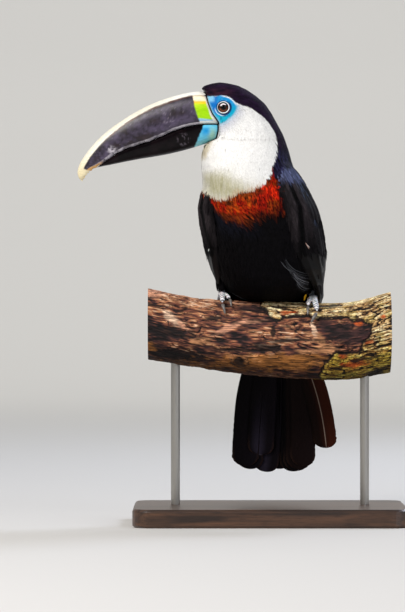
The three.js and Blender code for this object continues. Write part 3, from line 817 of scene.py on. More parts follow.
# Locks of each part of the coat. vary: spread of lengths; spread and wave: degrees off the lie, lock
# by lock and in drifts; tone: spread of brightness; soft: how little a lock's own camber shows.
coats = {
    "head": {"seed": 3, "length": 5.2, "width": 1.1, "vary": 0.5, "spread": 6, "wave": 8, "stations": 4,
             "depth": 1.1, "tipLift": 0.15, "camber": 0.3, "profile": tapered, "tone": 0.12, "soft": 0.7,
             "perArea": 0.95, "perSmall": 0.5},
    "bib": {"seed": 5, "length": 10.6, "width": 1.95, "vary": 0.5, "spread": 6, "wave": 8, "stations": 5,
            "depth": 1.6, "tipLift": 0.12, "camber": 0.15, "profile": tapered, "tone": 0.05, "redTone": 1.8,
            "soft": 0.9, "perArea": 0.61},
    "body": {"seed": 7, "length": 17, "width": 3.0, "vary": 0.5, "spread": 9, "wave": 10, "stations": 6,
             "depth": 3.0, "tipLift": 0.4, "camber": 0.35, "profile": tapered, "tone": 0.9, "redTone": 0.9,
             "soft": 0.5, "perArea": 0.26},
    "wings": {"seed": 8, "length": 12, "width": 2.2, "vary": 0.4, "spread": 5, "wave": 6, "stations": 5,
              "depth": 0.9, "tipLift": 0.4, "camber": 0.35, "profile": rounded, "tone": 0.6, "soft": 0.4,
              "perArea": 0.34},
    "rump": {"seed": 9, "length": 24, "width": 6, "vary": 0.4, "spread": 8, "wave": 8, "stations": 7,
             "depth": 2.6, "tipLift": 0.5, "camber": 0.3, "profile": rounded, "tone": 0.3, "soft": 0.3,
             "perArea": 0.11},
}


def growLocks(name, form, share, material, slot="plumage", scale=None, swirl=None, recolour=None):
    # locks of one kind over the faces of the form, by the share of each face that has them
    settings = coats[name]
    random = np.random.default_rng(settings["seed"])
    roots, normals = rootsOn(form, share, random)
    count, stations = len(roots), settings["stations"]
    size = np.ones(count) if scale is None else scale(roots)
    lengths = settings["length"] * size * (1 + settings["vary"] * (random.random(count) - 0.5))
    widths = settings["width"] * size ** 0.7 * (1 + 0.5 * (random.random(count) - 0.5)) / 2
    angles = np.radians(settings["spread"]) * random.standard_normal(count)
    angles = angles + np.radians(settings["wave"]) * noise(roots, 16, settings["seed"])
    if swirl is not None:
        angles = angles + swirl(roots)
    ways = turned(tangent(lieOf(roots), normals), normals, angles)
    at, lines, ups = roots, [roots], [normals]
    for _ in range(stations - 1):
        at, normals = nearest(form, at + ways * (lengths / (stations - 1))[:, None])
        ways = tangent(ways, normals)
        lines.append(at)
        ups.append(normals)
    lines, ups = np.stack(lines, 1), np.stack(ups, 1)
    along = np.linspace(0, 1, stations)
    depth = settings["depth"] * (0.8 + 0.4 * random.random(count))
    lift = -depth[:, None] * (1 - along) ** 1.7 + settings["tipLift"] * random.random((count, 1)) * along ** 2
    lines = lines + ups * lift[..., None]
    shown = lines[:, int(stations * 0.6)]
    tints, _, red = markings(shown)
    if recolour is not None:
        tints = recolour(shown)
    shades = random.random(count)
    spread = settings["tone"] + settings.get("redTone", 0) * red
    tone = np.maximum(1 + spread * (shades - 0.5), 0.08)
    tints = np.clip(tints * tone[:, None], 0, 0.97)[:, None] * valueAt(rootShade, along)[None, :, None]
    addStrips("coat" + name.title(), lines, ups, widths[:, None] * valueAt(settings["profile"], along),
              settings["camber"], tints, shades, material, slot=slot, soft=settings["soft"])


def nearFace(places):
    # locks get shorter towards the bare skin and the bill
    edge = -insideDistance(places[:, [0, 2]], barePatch)
    horn = lineDistance(places[:, [0, 2]], billBase)
    return 0.4 + 0.6 * between(0, 12, np.minimum(edge, horn)) + 0.25 * between(470, 440, places[:, 2])


def bandSwirl(places):
    # the red band's locks run down and to the bird's left
    z = places[:, 2]
    return np.radians(38) * between(366, 350, z) * between(318, 336, z) * between(50, 10, bearingOf(places))


def wingTone(places):
    # over the wing: painted sheen, slate blue at the shoulder, then two dark lobes with painted highlight along their
    # crests, painted gleams, and painted shade in the furrow between them
    height, across = places[:, 2], wingAcross(places)
    tint = tintsOf(wingTints)
    grain = clamped(0.5 + 0.7 * noise(places * [1, 1, 0.16], 1.6, 19))
    off = (across - valueAt(wingFurrow, height)) * 95  # about millimetres from the furrow
    # painted highlight: the lobes are lighter beside the furrow
    lobeHighlight = np.where(off > 0, between(30, 3, off), between(-14, -3, off)) * between(300, 335, height)
    gleam = between(0.1, 0.03, np.abs(across - 0.36)) * between(322, 340, height) * between(0.55, 0.85, grain)
    litLobes = layered(
        tint["dark"], tint, ("lobeHighlight", (0.15 + 0.85 * lobeHighlight) * (0.35 + 0.65 * grain)), ("gleam", gleam * 0.8))
    # painted shade in the furrow between the lobes
    litLobes = mixed(litLobes, tint["dark"] * 0.4, between(4.6, 1.4, np.abs(off)) * between(388, 374, height))
    # painted sheen: slate blue over the shoulder
    shoulder = between(369, 379, height + 6 * noise(places, 7, 20)) * between(0.75, 0.5, across)
    blue = mixed(linear(plumage["shoulder"]), linear(plumage["mantleSheen"]), between(388, 400, height + 5 * grain))
    return mixed(litLobes, blue * (0.35 + 1.1 * grain)[:, None], shoulder)


def makeCoat(form, wingShare, material):
    middles = form["middles"]
    wing = wingShare[form["quads"]].mean(axis=1)
    _, y, z = middles.T
    bare = insideDistance(middles[:, [0, 2]], barePatch)
    covered = (distanceTo(["bill_upper", "bill_lower"], middles) > 1.3) & ~((bare > 0.3) & (z > 436)) & (wing < 0.6)
    rump = covered & (z < 262) & (y > 36)
    each = {name: settings["perArea"] for name, settings in coats.items()}
    extra = coats["head"]["perSmall"] * (1 - between(0, 7, -bare))  # more, smaller locks by the bare skin
    growLocks("head", form, (covered & (z > 424)) * (each["head"] + extra), material, scale=nearFace)
    growLocks("bib", form, (covered & (z <= 424) & (z > 344)) * each["bib"], material, slot="bib", swirl=bandSwirl)
    growLocks("body", form, (covered & (z <= 344) & ~rump) * each["body"], material, swirl=bandSwirl)
    growLocks("wings", form, (wing > 0.4) * between(296, 320, z) * each["wings"], material, recolour=wingTone)
    growLocks("rump", form, rump * each["rump"], material)


# Grey strips over the flank, whose grey is a painted sheen on the black feathers.
plumes = {
    "seed": 17, "count": 36, "sheenGrey": "#77797f", "wide": 0.36, "lift": 0.9,
    "from": [(12, 292), (30, 264)], "reach": (31, -19), "bend": (9, -18), "shortest": 0.45,
}
# Single odd feathers: place of the root as x and z, of the tip, width and colour.
strays = [(37.2, 307.5, 41.2, 300.6, 1.1, "#c9a595"), (-66.6, 301.5, -67.4, 298.6, 1.3, "#b9c0bd"),
          (38.4, 305.6, 41.8, 302.2, 0.7, "#e6d9d2"), (38.6, 252, 36.8, 245.3, 3.4, "#d6a11f")]
thighs = {"seed": 18, "count": 90, "top": 268, "bottom": 254.5, "wide": 2.2, "reach": [6.4, 5.8, 4.8]}


def makePlumes(form, material):
    # thin grey feather strips that curl over the flank, their grey a painted sheen on the black feathers, and the
    # stray feathers
    random = np.random.default_rng(plumes["seed"])
    along = np.linspace(0, 1, 12)[:, None]
    curves, widths, tints = [], [], []
    for k in range(plumes["count"]):
        share = (k + 2.5 * random.random()) / plumes["count"]
        start = np.array(plumes["from"][0]) * (1 - share) + np.array(plumes["from"][1]) * share
        start = start + random.standard_normal(2) * [1.6, 1.2]
        size = (1 - (1 - plumes["shortest"]) * share) * (0.6 + 0.45 * random.random())
        bend = start + np.array(plumes["bend"]) * size + random.standard_normal(2) * 0.8
        end = start + np.array(plumes["reach"]) * size + random.standard_normal(2) * 1.2
        curves.append(start * (1 - along) ** 2 + 2 * bend * along * (1 - along) + end * along ** 2)
        widths.append(plumes["wide"] * (0.5 + random.random()))
        tints.append(linear(plumes["sheenGrey"]) * (0.1 + 1.3 * random.random() ** 2.2))
    for x, z, tipX, tipZ, wide, tone in strays:
        curves.append(np.array([x, z]) * (1 - along) + np.array([tipX, tipZ]) * along)
        widths.append(wide)
        tints.append(linear(tone))
    flat = np.array(curves)
    outside = np.stack([flat[..., 0], np.full(flat.shape[:2], -70.0), flat[..., 1]], -1)
    for _ in range(6):  # slid back along y until they lie on the form
        places, normals = nearest(form, outside.reshape(-1, 3))
        outside[..., 1] = np.maximum(outside[..., 1], places[:, 1].reshape(flat.shape[:2]))
    ups = normals.reshape(outside.shape)
    half = np.array(widths)[:, None] * valueAt([(0, 0.4), (0.3, 1), (0.8, 0.7), (1, 0.1)], along[:, 0]) / 2
    colours = np.repeat(np.array(tints)[:, None], len(along), axis=1)
    addStrips("flankSheenPlumes", outside + ups * plumes["lift"], ups, half, 0.2, colours,
              random.random(len(flat)), material)


def makeThighs(material):
    # black locks hang from the belly round each bare leg
    random = np.random.default_rng(thighs["seed"])
    along = np.linspace(0, 1, 6)
    heights = np.linspace(thighs["top"], thighs["bottom"], len(along))
    lines, ups = [], []
    for name in ("leg_left", "leg_right"):
        points = pointsOf(nodes[name].data)
        levels = np.unique(np.round(points[points[:, 2] > 250, 2]))
        centres = np.array([points[np.abs(points[:, 2] - z) < 1].mean(axis=0) for z in levels])
        middles = np.column_stack([np.interp(heights, levels, centres[:, k]) for k in range(2)] + [0 * heights])
        turns = np.linspace(0, 2 * np.pi, thighs["count"], endpoint=False)
        for turn in turns + 0.1 * random.random(thighs["count"]):
            out = np.array([math.cos(turn), math.sin(turn), 0])
            reach = np.interp(along, [0, 0.6, 1], thighs["reach"]) + 0.8 * random.random()
            line = middles + out * reach[:, None]
            line[:, 2] = heights + 2.5 * random.random() * along
            lines.append(line)
            ups.append(np.repeat(out[None], len(along), axis=0))
    lines, ups = np.array(lines), np.array(ups)
    half = thighs["wide"] / 2 * np.interp(along, [0, 0.4, 1], [0.8, 1, 0.15])[None] * np.ones((len(lines), 1))
    colours = np.broadcast_to(linear(plumage["black"]), lines.shape) * (0.6 + 1.6 * random.random((len(lines), 1, 1)))
    addStrips("thighLocks", lines, ups, half, 0.3, colours, random.random(len(lines)), material)


def addVanes(name, feathers, material, *replaced):
    # thin closed vanes with a shaft. Each feather: its line and normals (station, 3), left and right
    # half widths, thickness, tint and shade
    across = np.array([-1, -0.8, -0.45, -0.06, 0, 0.06, 0.45, 0.8, 1])
    around = np.concatenate([across, across[::-1][1:-1]])  # over the top and back below
    points, faces, tints, vanes, uvs, start = [], [], [], [], [], 0
    for feather in feathers:
        line, left, right = feather["line"], feather["left"][:, None], feather["right"][:, None]
        size = (len(line), len(around))
        ways = unit(np.gradient(line, axis=0))
        sides = unit(np.cross(feather["normals"], ways))
        ups = np.cross(ways, sides)[:, None]
        reach = np.where(across < 0, across * left, across * right)
        along = np.linspace(0, 1, len(line))[:, None]
        thick = feather["thick"] * np.minimum(1, 0.25 + np.minimum(left, right) / 3)
        shaft = feather["shaft"] * (1 - 0.8 * along) * np.exp(-(reach / 0.7) ** 2)
        body = line[:, None] + sides[:, None] * reach[..., None]
        body = body - ups * (feather["camber"] * reach ** 2)[..., None]
        rise = ups * (thick / 2 * (1 - 0.7 * across ** 2) + shaft)[..., None]
        points.append(np.concatenate([body + rise, (body - rise)[:, ::-1][:, 1:-1]], axis=1).reshape(-1, 3))
        faces.append(gridFaces(*size, True) + start)
        alongAt, acrossAt = np.broadcast_to(along, size), np.broadcast_to(around, size)
        vane = np.stack([acrossAt * 0.5 + 0.5, alongAt, np.full(size, feather["shade"])], -1)
        vanes.append(vane.reshape(-1, 3))
        tints.append(feather["tint"](acrossAt, alongAt).reshape(-1, 3))
        local = np.stack([acrossAt * patch / 2, (alongAt - 0.5) * patch], -1)
        uvs.append((unwrap(line[:1])[0] + local).reshape(-1, 2))
        start += size[0] * size[1]
    faces = np.concatenate(faces)
    thing = addMesh(name, np.concatenate(points), faces)
    paint(thing, "tint", np.concatenate(tints))
    paint(thing, "vane", np.concatenate(vanes))
    layFlat(thing, faces, np.concatenate(uvs))
    finish(thing, material, "plumage", *replaced)
    print("  ", name, len(feathers), "feathers,", len(faces) * 2, "triangles")


# Rows of a folded wing from the shoulder down: share across the wing and height of the first and
# last root and tip; half: half width; lift: share of the wing's own thickness; edge: pale rim.
wingRows = {
    "primaries": {"count": 9, "roots": [(0.10, 318), (0.45, 300)], "tips": [(0.30, 232), (0.60, 190)],
                  "half": 5.0, "lift": 0.42, "edge": 0.35},
    "secondaries": {"count": 10, "roots": [(0.12, 352), (0.80, 330)], "tips": [(0.16, 250), (0.86, 214)],
                    "half": 7.0, "lift": 0.62, "edge": 0.45},
    "greaterCoverts": {"count": 11, "roots": [(0.06, 368), (0.92, 350)], "tips": [(0.08, 300), (0.92, 276)],
                       "half": 5.4, "lift": 0.80, "edge": 0.5},
    "medianCoverts": {"count": 12, "roots": [(0.05, 382), (0.95, 370)], "tips": [(0.05, 336), (0.95, 316)],
                      "half": 4.8, "lift": 0.92, "edge": 0.5},
}
# The two last tints are painted highlights on the lobes' crests and along the wing.
wingTints = {"dark": "#060507", "mid": "#0b090d", "edge": "#120e12", "brown": "#140c0e", "lobeHighlight": "#363033",
             "gleam": "#4d5c78"}
wingVane = {"thick": 0.45, "shaft": 0.28, "camber": 0.02}
# Where the furrow between the wing's two feather masses runs: height, share across the wing.
wingFurrow = [(294.8, 0.04), (302.5, 0.06), (320.9, 0.10), (333.3, 0.12), (348.3, 0.16), (360.8, 0.15), (372, 0.16),
              (384, 0.16)]


def roundTip(along, start, length, power, least):
    # half width of a vane as its tip closes in a round end
    return np.sqrt(np.clip(1 - clamped((along - start) / length) ** power, least, 1))


def wingFeathers(side, random):
    shades = tintsOf(wingTints)
    along = np.linspace(0, 1, 26)
    shape = np.minimum(1, 0.35 + along * 2.5) * roundTip(along, 0.82, 0.18, 2.3, 0.002)
    feathers = []
    for row in wingRows.values():
        for k in range(row["count"]):
            share = k / (row["count"] - 1)
            jitter = random.standard_normal(4) * [0.008, 1.5, 0.012, 2.0]
            root = np.array(row["roots"][0]) * (1 - share) + np.array(row["roots"][1]) * share + jitter[:2]
            tip = np.array(row["tips"][0]) * (1 - share) + np.array(row["tips"][1]) * share + jitter[2:]
            across = root[0] + (tip[0] - root[0]) * along + 0.02 * np.sin(np.pi * along)
            height = root[1] + (tip[1] - root[1]) * along
            lift = wingSkinLift(across) * row["lift"] - 1.4 * (1 - along) ** 1.5 + 0.35 * share
            line = wingPoint(side, across, height, lift)
            outer = wingPoint(side, across, height, lift + 1)
            tone = 0.85 + 0.4 * random.random()

            def tint(acrossAt, alongAt, tone=tone, rimShare=row["edge"]):
                base = layered(shades["dark"], shades, ("mid", between(-1, 0.6, acrossAt)),
                               ("brown", 0.35 * between(0.2, 1, alongAt)))
                rim = between(0.62, 1, np.abs(acrossAt)) + between(0.93, 1, alongAt)
                return mixed(base, shades["edge"], clamped(rim * rimShare)) * tone

            feathers.append({
                "line": line, "normals": unit(outer - line), "left": row["half"] * 0.9 * shape,
                "right": row["half"] * shape, "tint": tint, "shade": random.random(), **wingVane,
            })
    return feathers


def makeWings(material):
    for name, side in (("Left", 1), ("Right", -1)):
        addVanes("wingFeathers" + name, wingFeathers(side, np.random.default_rng(40 + side)), material)


tail = {
    "seed": 61, "root": (15, 62, 226), "tip": (8, 80, 52.6), "arch": 420, "cup": 160, "layer": 1.1,
    "halfWidth": 15, "tipShare": 0.925, "thick": 1.0, "shaft": 0.5,
    # start across the root, splay by the tip, outward bow, share of full length, layer
    "feathers": [(-20, -14, -5, 0.962, 3), (-16, -13, -4, 0.982, 2.2), (-11, -6, -2, 0.89, 3.9),
                 (-5, -6, -1, 1, 1.2), (1, 2, 0, 0.98, 0.2), (9, 11, 1, 0.995, 1.2), (12, 13, 1, 0.99, 2.1),
                 (14, 14, 2, 0.98, 3), (18, 15, 3, 0.958, 3.9), (4, 60, 12, 0.838, 4.8)],
    # which feathers, counted from the bird's right, have a violet gleam, a pale tip and a brown tinge
    "gleaming": (2, 3), "paleTip": 2, "brownish": (7, 8), "splayed": 9,
}
tailTints = {"black": "#060406", "purple": "#0c080e", "violet": "#26222e", "brown": "#150a08",
             "rust": "#3c180c", "silver": "#77727c", "rim": "#6e5145", "shaft": "#b3a092"}


def tailPoint(feather, along, across):
    start, splay, bow, length, layer = feather
    s = along * length
    middle = np.array(tail["root"]) + (np.array(tail["tip"]) - np.array(tail["root"])) * s[..., None]
    aside = start + splay * s + bow * np.sin(np.pi * s)
    ahead = layer * tail["layer"] + (aside + across) ** 2 / tail["arch"] + across ** 2 / tail["cup"] + 0.65
    ring = np.concatenate([middle[..., :2], np.full_like(middle[..., :1], bodyHeading)], -1)
    x, y = onRing(ring, ahead, aside + across)
    return np.stack([x, y, middle[..., 2]], -1)


def tailTint(k, across, along):
    shades, off = tintsOf(tailTints), np.abs(across)
    if k == tail["splayed"]:
        base = layered(shades["brown"], shades, ("rust", between(-0.6, 0.5, across)),
                       ("shaft", between(0.05, 0.0, off) * 0.75))
    else:
        base = mixed(shades["black"], shades["purple"], between(-0.9, 0.9, across) * 0.8)
    if k in tail["gleaming"]:
        gleam = between(0.7, 0.0, np.abs(across + 0.2)) * between(0.3, 0.8, along)
        base = mixed(base, shades["violet"], gleam * 0.85)
    if k in tail["brownish"]:
        base = mixed(base, shades["brown"], 0.55)
    if k == tail["paleTip"]:
        base = mixed(base, shades["silver"], between(0.955, 0.99, along) * between(0.8, 0.2, off) * 0.9)
    tip = between(0.965, 1, along) * (0.85 if k == tail["splayed"] else 0.5)
    side = between(0.85, 1, off) * between(0.6, 0.9, along) * 0.2
    return mixed(base, shades["rim"], clamped(tip + side))


def makeTail(material):
    random = np.random.default_rng(tail["seed"])
    along = 1 - 0.98 * (1 - np.linspace(0, 1, 56)) ** 1.8  # closer together towards the tip
    half = tail["halfWidth"] * (0.5 + 0.5 * between(0, 0.6, along))
    half = half * roundTip(along, tail["tipShare"], 1 - tail["tipShare"], 2.2, 0.001)
    feathers = []
    for k, feather in enumerate(tail["feathers"]):
        line = tailPoint(feather, along, 0 * along)
        beside = tailPoint(feather, along, 0 * along + 1)
        ups = unit(np.cross(unit(np.gradient(line, axis=0)), unit(beside - line)))
        fray = 1 + 0.02 * random.standard_normal(len(along)) * between(0.5, 1, along)
        tone = 0.8 + 0.5 * random.random()
        feathers.append({
            "line": line, "normals": ups * np.sign(-ups[:, 1:2]), "left": half * fray, "right": half * fray,
            "thick": tail["thick"], "shaft": tail["shaft"], "camber": -(1 / tail["arch"] + 1 / tail["cup"]),
            "tint": lambda across, alongAt, k=k, tone=tone: tailTint(k, across, alongAt) * tone,
            "shade": random.random(),
        })
    addVanes("tailFeathers", feathers, material, "tail")


bill = {
    # the upper edge, the mouth line and the lower edge, as x and z in the head's mid plane
    "culmen": [(-56, 470.8), (-75, 473.9), (-98, 470.9), (-137.5, 456.8), (-181.5, 428), (-203.5, 403.5),
               (-210.8, 389), (-210.4, 380), (-206.2, 374.4)],
    "tomium": [(-52, 437.5), (-76, 437.5), (-99, 433), (-132, 419.5), (-165, 408), (-186, 394),
               (-197.5, 387), (-202.6, 381.6), (-206.2, 374.4)],
    "gonys": [(-54, 424), (-72, 416.5), (-104, 407), (-148, 399), (-189, 390.6)],
    "limeEdge": [(440, -78.0), (447.4, -81.1), (454.6, -83.3), (462.9, -84.7), (469.4, -86.1)],  # height, x
    # where feathers end over the horn: height, x
    "front": [(421, -58.5), (430, -57), (439, -57), (449, -64), (459, -68), (469, -70.5), (477, -76.5)],
    "mouthEnd": 0.68,  # how far along the mouth line the lower half reaches
    "halfWidths": [19.5, 19, 17.5, 15, 11.5, 8, 5.4, 3.8, 0],
    # middles of marks, as x and z
    "scuff": (-173, 409), "scratches": (-112, 444), "lowScratches": (-96, 420.5),
    "paleSpot": (-64.5, 426), "blueSpot": (-71.6, 429.8), "bluePatch": (-75.3, 433.3),
    "notches": 17,
}
# share of the height below the widest place, and how square the section is above and below it
upperSection = {"belly": 0.3, "topPower": 0.8, "lowPower": 0.24, "along": 230, "around": 96}
lowerSection = {"belly": 0.72, "topPower": 0.24, "lowPower": 0.75, "along": 170, "around": 80}
billTints = {
    "ivory": "#e6e2d2", "yellow": "#e6d08c", "white": "#f0efe8", "lime": "#9cd400", "limeYellow": "#c2dc0a",
    "amber": "#ffc21e", "cream": "#f8eccb", "paleBlue": "#8fc0e0", "black": "#19141b", "purple": "#4c4358",
    "umber": "#6d4230", "brown": "#3a2b30", "scratch": "#8f8592", "lower": "#070406", "lowerBrown": "#160d11",
    "tan": "#c99a5e", "skyBlue": "#62bfe0", "deepBlue": "#078fd2", "pale": "#9fc6ae", "line": "#060506",
    "tomiumPale": "#cbc5cd",
}


def lineAt(points, t):
    # the place at share t of a centripetal curve, each stretch between points taking an equal share
    points = np.array(points, float)
    count = len(points) - 1
    at = np.clip(t, 0, 0.999999) * count
    i = np.floor(at).astype(int)
    w = (at - i)[:, None]
    padded = np.vstack([2 * points[0] - points[1], points, 2 * points[-1] - points[-2]])
    p0, p1, p2, p3 = (padded[i + k] for k in range(4))
    d0, d1, d2 = (np.sqrt(np.linalg.norm(b - a, axis=1, keepdims=True)) for a, b in ((p0, p1), (p1, p2), (p2, p3)))
    t1 = ((p1 - p0) / d0 - (p2 - p0) / (d0 + d1) + (p2 - p1) / d1) * d1
    t2 = ((p2 - p1) / d1 - (p3 - p1) / (d1 + d2) + (p3 - p2) / d2) * d1
    return ((1 + 2 * w) * (1 - w) ** 2 * p1 + w * (1 - w) ** 2 * t1
            + w * w * (3 - 2 * w) * p2 - w * w * (1 - w) * t2)


def mandible(lowLine, highLine, widths, belly, topPower, lowPower, along, around):
    t = np.linspace(0.0, 1.0, along)
    turn = np.linspace(0, 2 * np.pi, around, endpoint=False)
    low, high = lowLine(t)[:, None], highLine(t)[:, None]
    c, s = np.cos(turn)[None], np.sin(turn)[None]
    rise = belly + np.where(s > 0, 1 - belly, belly) * np.sign(s) * np.abs(s) ** 0.9
    ends = np.minimum(1, np.minimum(np.sqrt(t * 60), np.sqrt((1 - t) * 14)))[:, None]
    share = 0.5 + (rise - 0.5) * ends
    flat = low + (high - low) * share[..., None]
    power = np.where(s > 0, topPower, lowPower)
    y = np.sign(c) * np.abs(c) ** power * widths(t)[:, None] * ends
    return np.stack([flat[..., 0], y, flat[..., 1]], -1), t, share


def awayFrom(place, x, z, wide=1.0, high=1.0):
    # distance from a mark, which "wide" and "high" over 1 make narrower and lower
    return np.hypot((x - place[0]) * wide, (z - place[1]) * high)


def hornNoise(points):
    x = points[:, 0]
    run = points * [0.3, 1, 1] + np.outer(x * 0.16, [0, 0, 1])  # stretched along the bill
    return noise(run, 0.9, 71), fractal(points, 9, 3, 73), fractal(points, 2.4, 2, 75), noise(points, 3, 76)


def upperColour(points, base):
    tint = tintsOf(billTints)
    flat = points[:, [0, 2]]
    x, z = flat.T
    scratch, mottle, grain, wobble = hornNoise(points)
    culmen, tomium = (lineDistance(flat, lineAt(bill[edge], np.linspace(0, 1, 120))) for edge in ("culmen", "tomium"))
    tip = awayFrom(bill["culmen"][-1], x, z)
    scuffX, scuffZ = bill["scuff"]
    scuff = np.hypot((x - scuffX) * 0.8 + (z - scuffZ + 1) * 0.5, z - scuffZ)
    marks = between(0.12, 0.04, np.abs(noise(points, 2.6, 77))) * between(13, 4, awayFrom(bill["scratches"], x, z))
    rim = between(3.1, 2.3, tomium + 0.35 * wobble) * (0.4 + 0.3 * grain + 0.5 * between(-125, -95, x))
    horn = layered(
        tint["black"], tint,
        ("purple", clamped(0.48 + 0.65 * mottle + 0.35 * grain + 0.2 * scratch)),
        ("brown", clamped(-mottle - 0.1) * 0.6),
        ("black", between(4.5, 1.0, culmen - 5.5) * 0.55),
        ("scratch", between(0.72, 0.95, scratch) * 0.35),
        ("black", between(8, 2, tomium) * between(-130, -100, x) * 0.5),
        ("tomiumPale", between(7, 1, scuff) * clamped(0.5 + grain + scratch) * 0.9),
        ("scratch", marks * 0.45),
        ("tomiumPale", clamped(rim)),
        ("tan", between(2.6, 1.4, tomium - between(-190, -202, x)) * between(-182, -190, x)))
    strip = 2.5 + 1.3 * between(455, 443, z)
    lime = layered(
        tint["lime"], tint,
        ("limeYellow", clamped(between(452, 462, z) * 0.9 + 0.2 * scratch)),
        ("amber", between(459.7, 461.0, z + 0.3 * wobble)),
        ("cream", between(462.2, 463.8, z + 0.4 * wobble)),
        ("paleBlue", between(443.3, 442.5, z + 0.2 * wobble + 0.1 * (x + 70))),
        ("white", between(441.4, 440.7, z - 0.03 * (x + 70))),
        ("white", between(strip + 0.6, strip - 0.4, base)))
    side = mixed(horn, lime, between(-0.5, 0.5, x + 0.4 * wobble - valueAt(bill["limeEdge"], z)))
    stripe = 4.7 + 1.1 * between(-150, -190, x) - 0.6 * between(-120, -90, x) + 0.3 * wobble
    shadow = between(1.0, 0.4, np.abs(culmen - stripe - 0.9)) * between(-190, -170, x)
    ivory = layered(tint["ivory"], tint, ("yellow", clamped(0.1 * mottle + 0.55 * between(34, 8, tip))),
                    ("white", between(-130, -95, x) * 0.8))
    colour = mixed(mixed(side, tint["umber"], shadow * 0.55), ivory, between(0.4, -0.4, culmen - stripe))
    colour = mixed(colour, ivory, between(15.2, 13.8, tip + 0.8 * wobble))
    colour = layered(colour, tint, ("tan", between(9, 2, tip) * between(-206, -203, x) * 0.5),
                     ("line", between(1.7, 1.2, base) * (culmen > 3.5)))
    return colour, 0.3 * (1 - 0.8 * between(1.7, 1.2, base))


def lowerColour(points, base, share):
    tint = tintsOf(billTints)
    x, z = points[:, 0], points[:, 2]
    _, mottle, grain, wobble = hornNoise(points)
    marks = between(0.14, 0.05, np.abs(noise(points, 3.2, 78))) * between(9, 4, awayFrom(bill["lowScratches"], x, z))
    blue = layered(
        tint["skyBlue"], tint,
        ("pale", between(9, 0, awayFrom(bill["paleSpot"], x, z, 1.1, 0.75)) * 0.85),
        ("deepBlue", between(7.5, 0.5, awayFrom(bill["blueSpot"], x, z, 1, 1.1) + 0.8 * wobble) * 0.95),
        ("pale", between(424, 416, z + wobble) * 0.4))
    lower = layered(tint["lower"], tint, ("lowerBrown", clamped(0.35 + 0.6 * mottle + 0.2 * grain)),
                    ("scratch", marks * 0.3))
    patchX, patchZ = bill["bluePatch"]
    colour = mixed(lower, blue, between(-0.8, 0.8, x - patchX + (patchZ - z) * 0.39 + 0.6 * wobble))
    # black lines: the horn's own black base line, and painted shade along the top edge under the upper half
    colour = layered(colour, tint, ("line", between(2.4, 1.7, base)), ("line", between(0.93, 0.97, share)))
    gloss = 0.3 * (1 - 0.95 * between(0.7, 0.85, share)) * (1 - 0.8 * between(2.4, 1.7, base)) * 0.4
    return colour, gloss


def makeBill(material):
    widths = bill["halfWidths"]
    widthAt = lambda t: np.interp(t, np.linspace(0, 1, len(widths)), widths)
    mouthAt = lambda t: lineAt(bill["tomium"], t)
    reach = bill["mouthEnd"]
    upperParts = mandible(mouthAt, lambda t: lineAt(bill["culmen"], t), widthAt, **upperSection)
    lowerParts = mandible(lambda t: lineAt(bill["gonys"], t), lambda t: mouthAt(t * reach) - [0, 0.3],
                          lambda t: widthAt(t * reach) * 0.93, **lowerSection)
    for name, (points, t, share) in (("Upper", upperParts), ("Lower", lowerParts)):
        along, around = points.shape[:2]
        flat = points.reshape(-1, 3)
        faces = gridFaces(along, around, True)
        base = lineDistance(flat[:, [0, 2]], billBase)
        relief = 0.12 * fractal(flat * [0.4, 1, 1], 7, 3, 81) + 0.05 * noise(flat * [0.25, 1, 1.5], 1.6, 83)
        lift = relief + 0.45 * between(3.2, 1.4, base)
        if name == "Upper":
            notch = np.abs(np.sin(t * np.pi * bill["notches"]))[:, None] ** 3 * between(0.1, 0.0, share)
            lift = lift - 0.8 * (notch * between(0.2, 0.35, t)[:, None]).ravel()
            colours, gloss = upperColour(flat, base)
        else:
            colours, gloss = lowerColour(flat, base, share.ravel())
        ends = np.minimum(between(0, 0.02, t), between(1, 0.97, t))[:, None].repeat(around, 1).ravel()
        shaped = flat + surfaceOf(flat, faces)["normals"] * (lift * ends)[:, None]
        # painted shade: horn behind the line where the feathers end is black
        shown = (flat[:, 0] < valueAt(bill["front"], flat[:, 2])) * 1.0
        thing = addMesh("bill" + name, turnedHead(shaped), faces)
        paint(thing, "tint", mixed(linear(billTints["line"]), colours, shown))
        paint(thing, "wear", np.repeat(gloss[:, None], 3, axis=1))
        finish(thing, material, "horn", "bill_" + name.lower())


eyeTints = {"pupil": "#000000", "iris": "#1e0907", "irisLight": "#7b4630", "irisLidShade": "#100504", "sheen": "#e9dfe2"}
eyeGrid = {"around": 96, "along": 72}


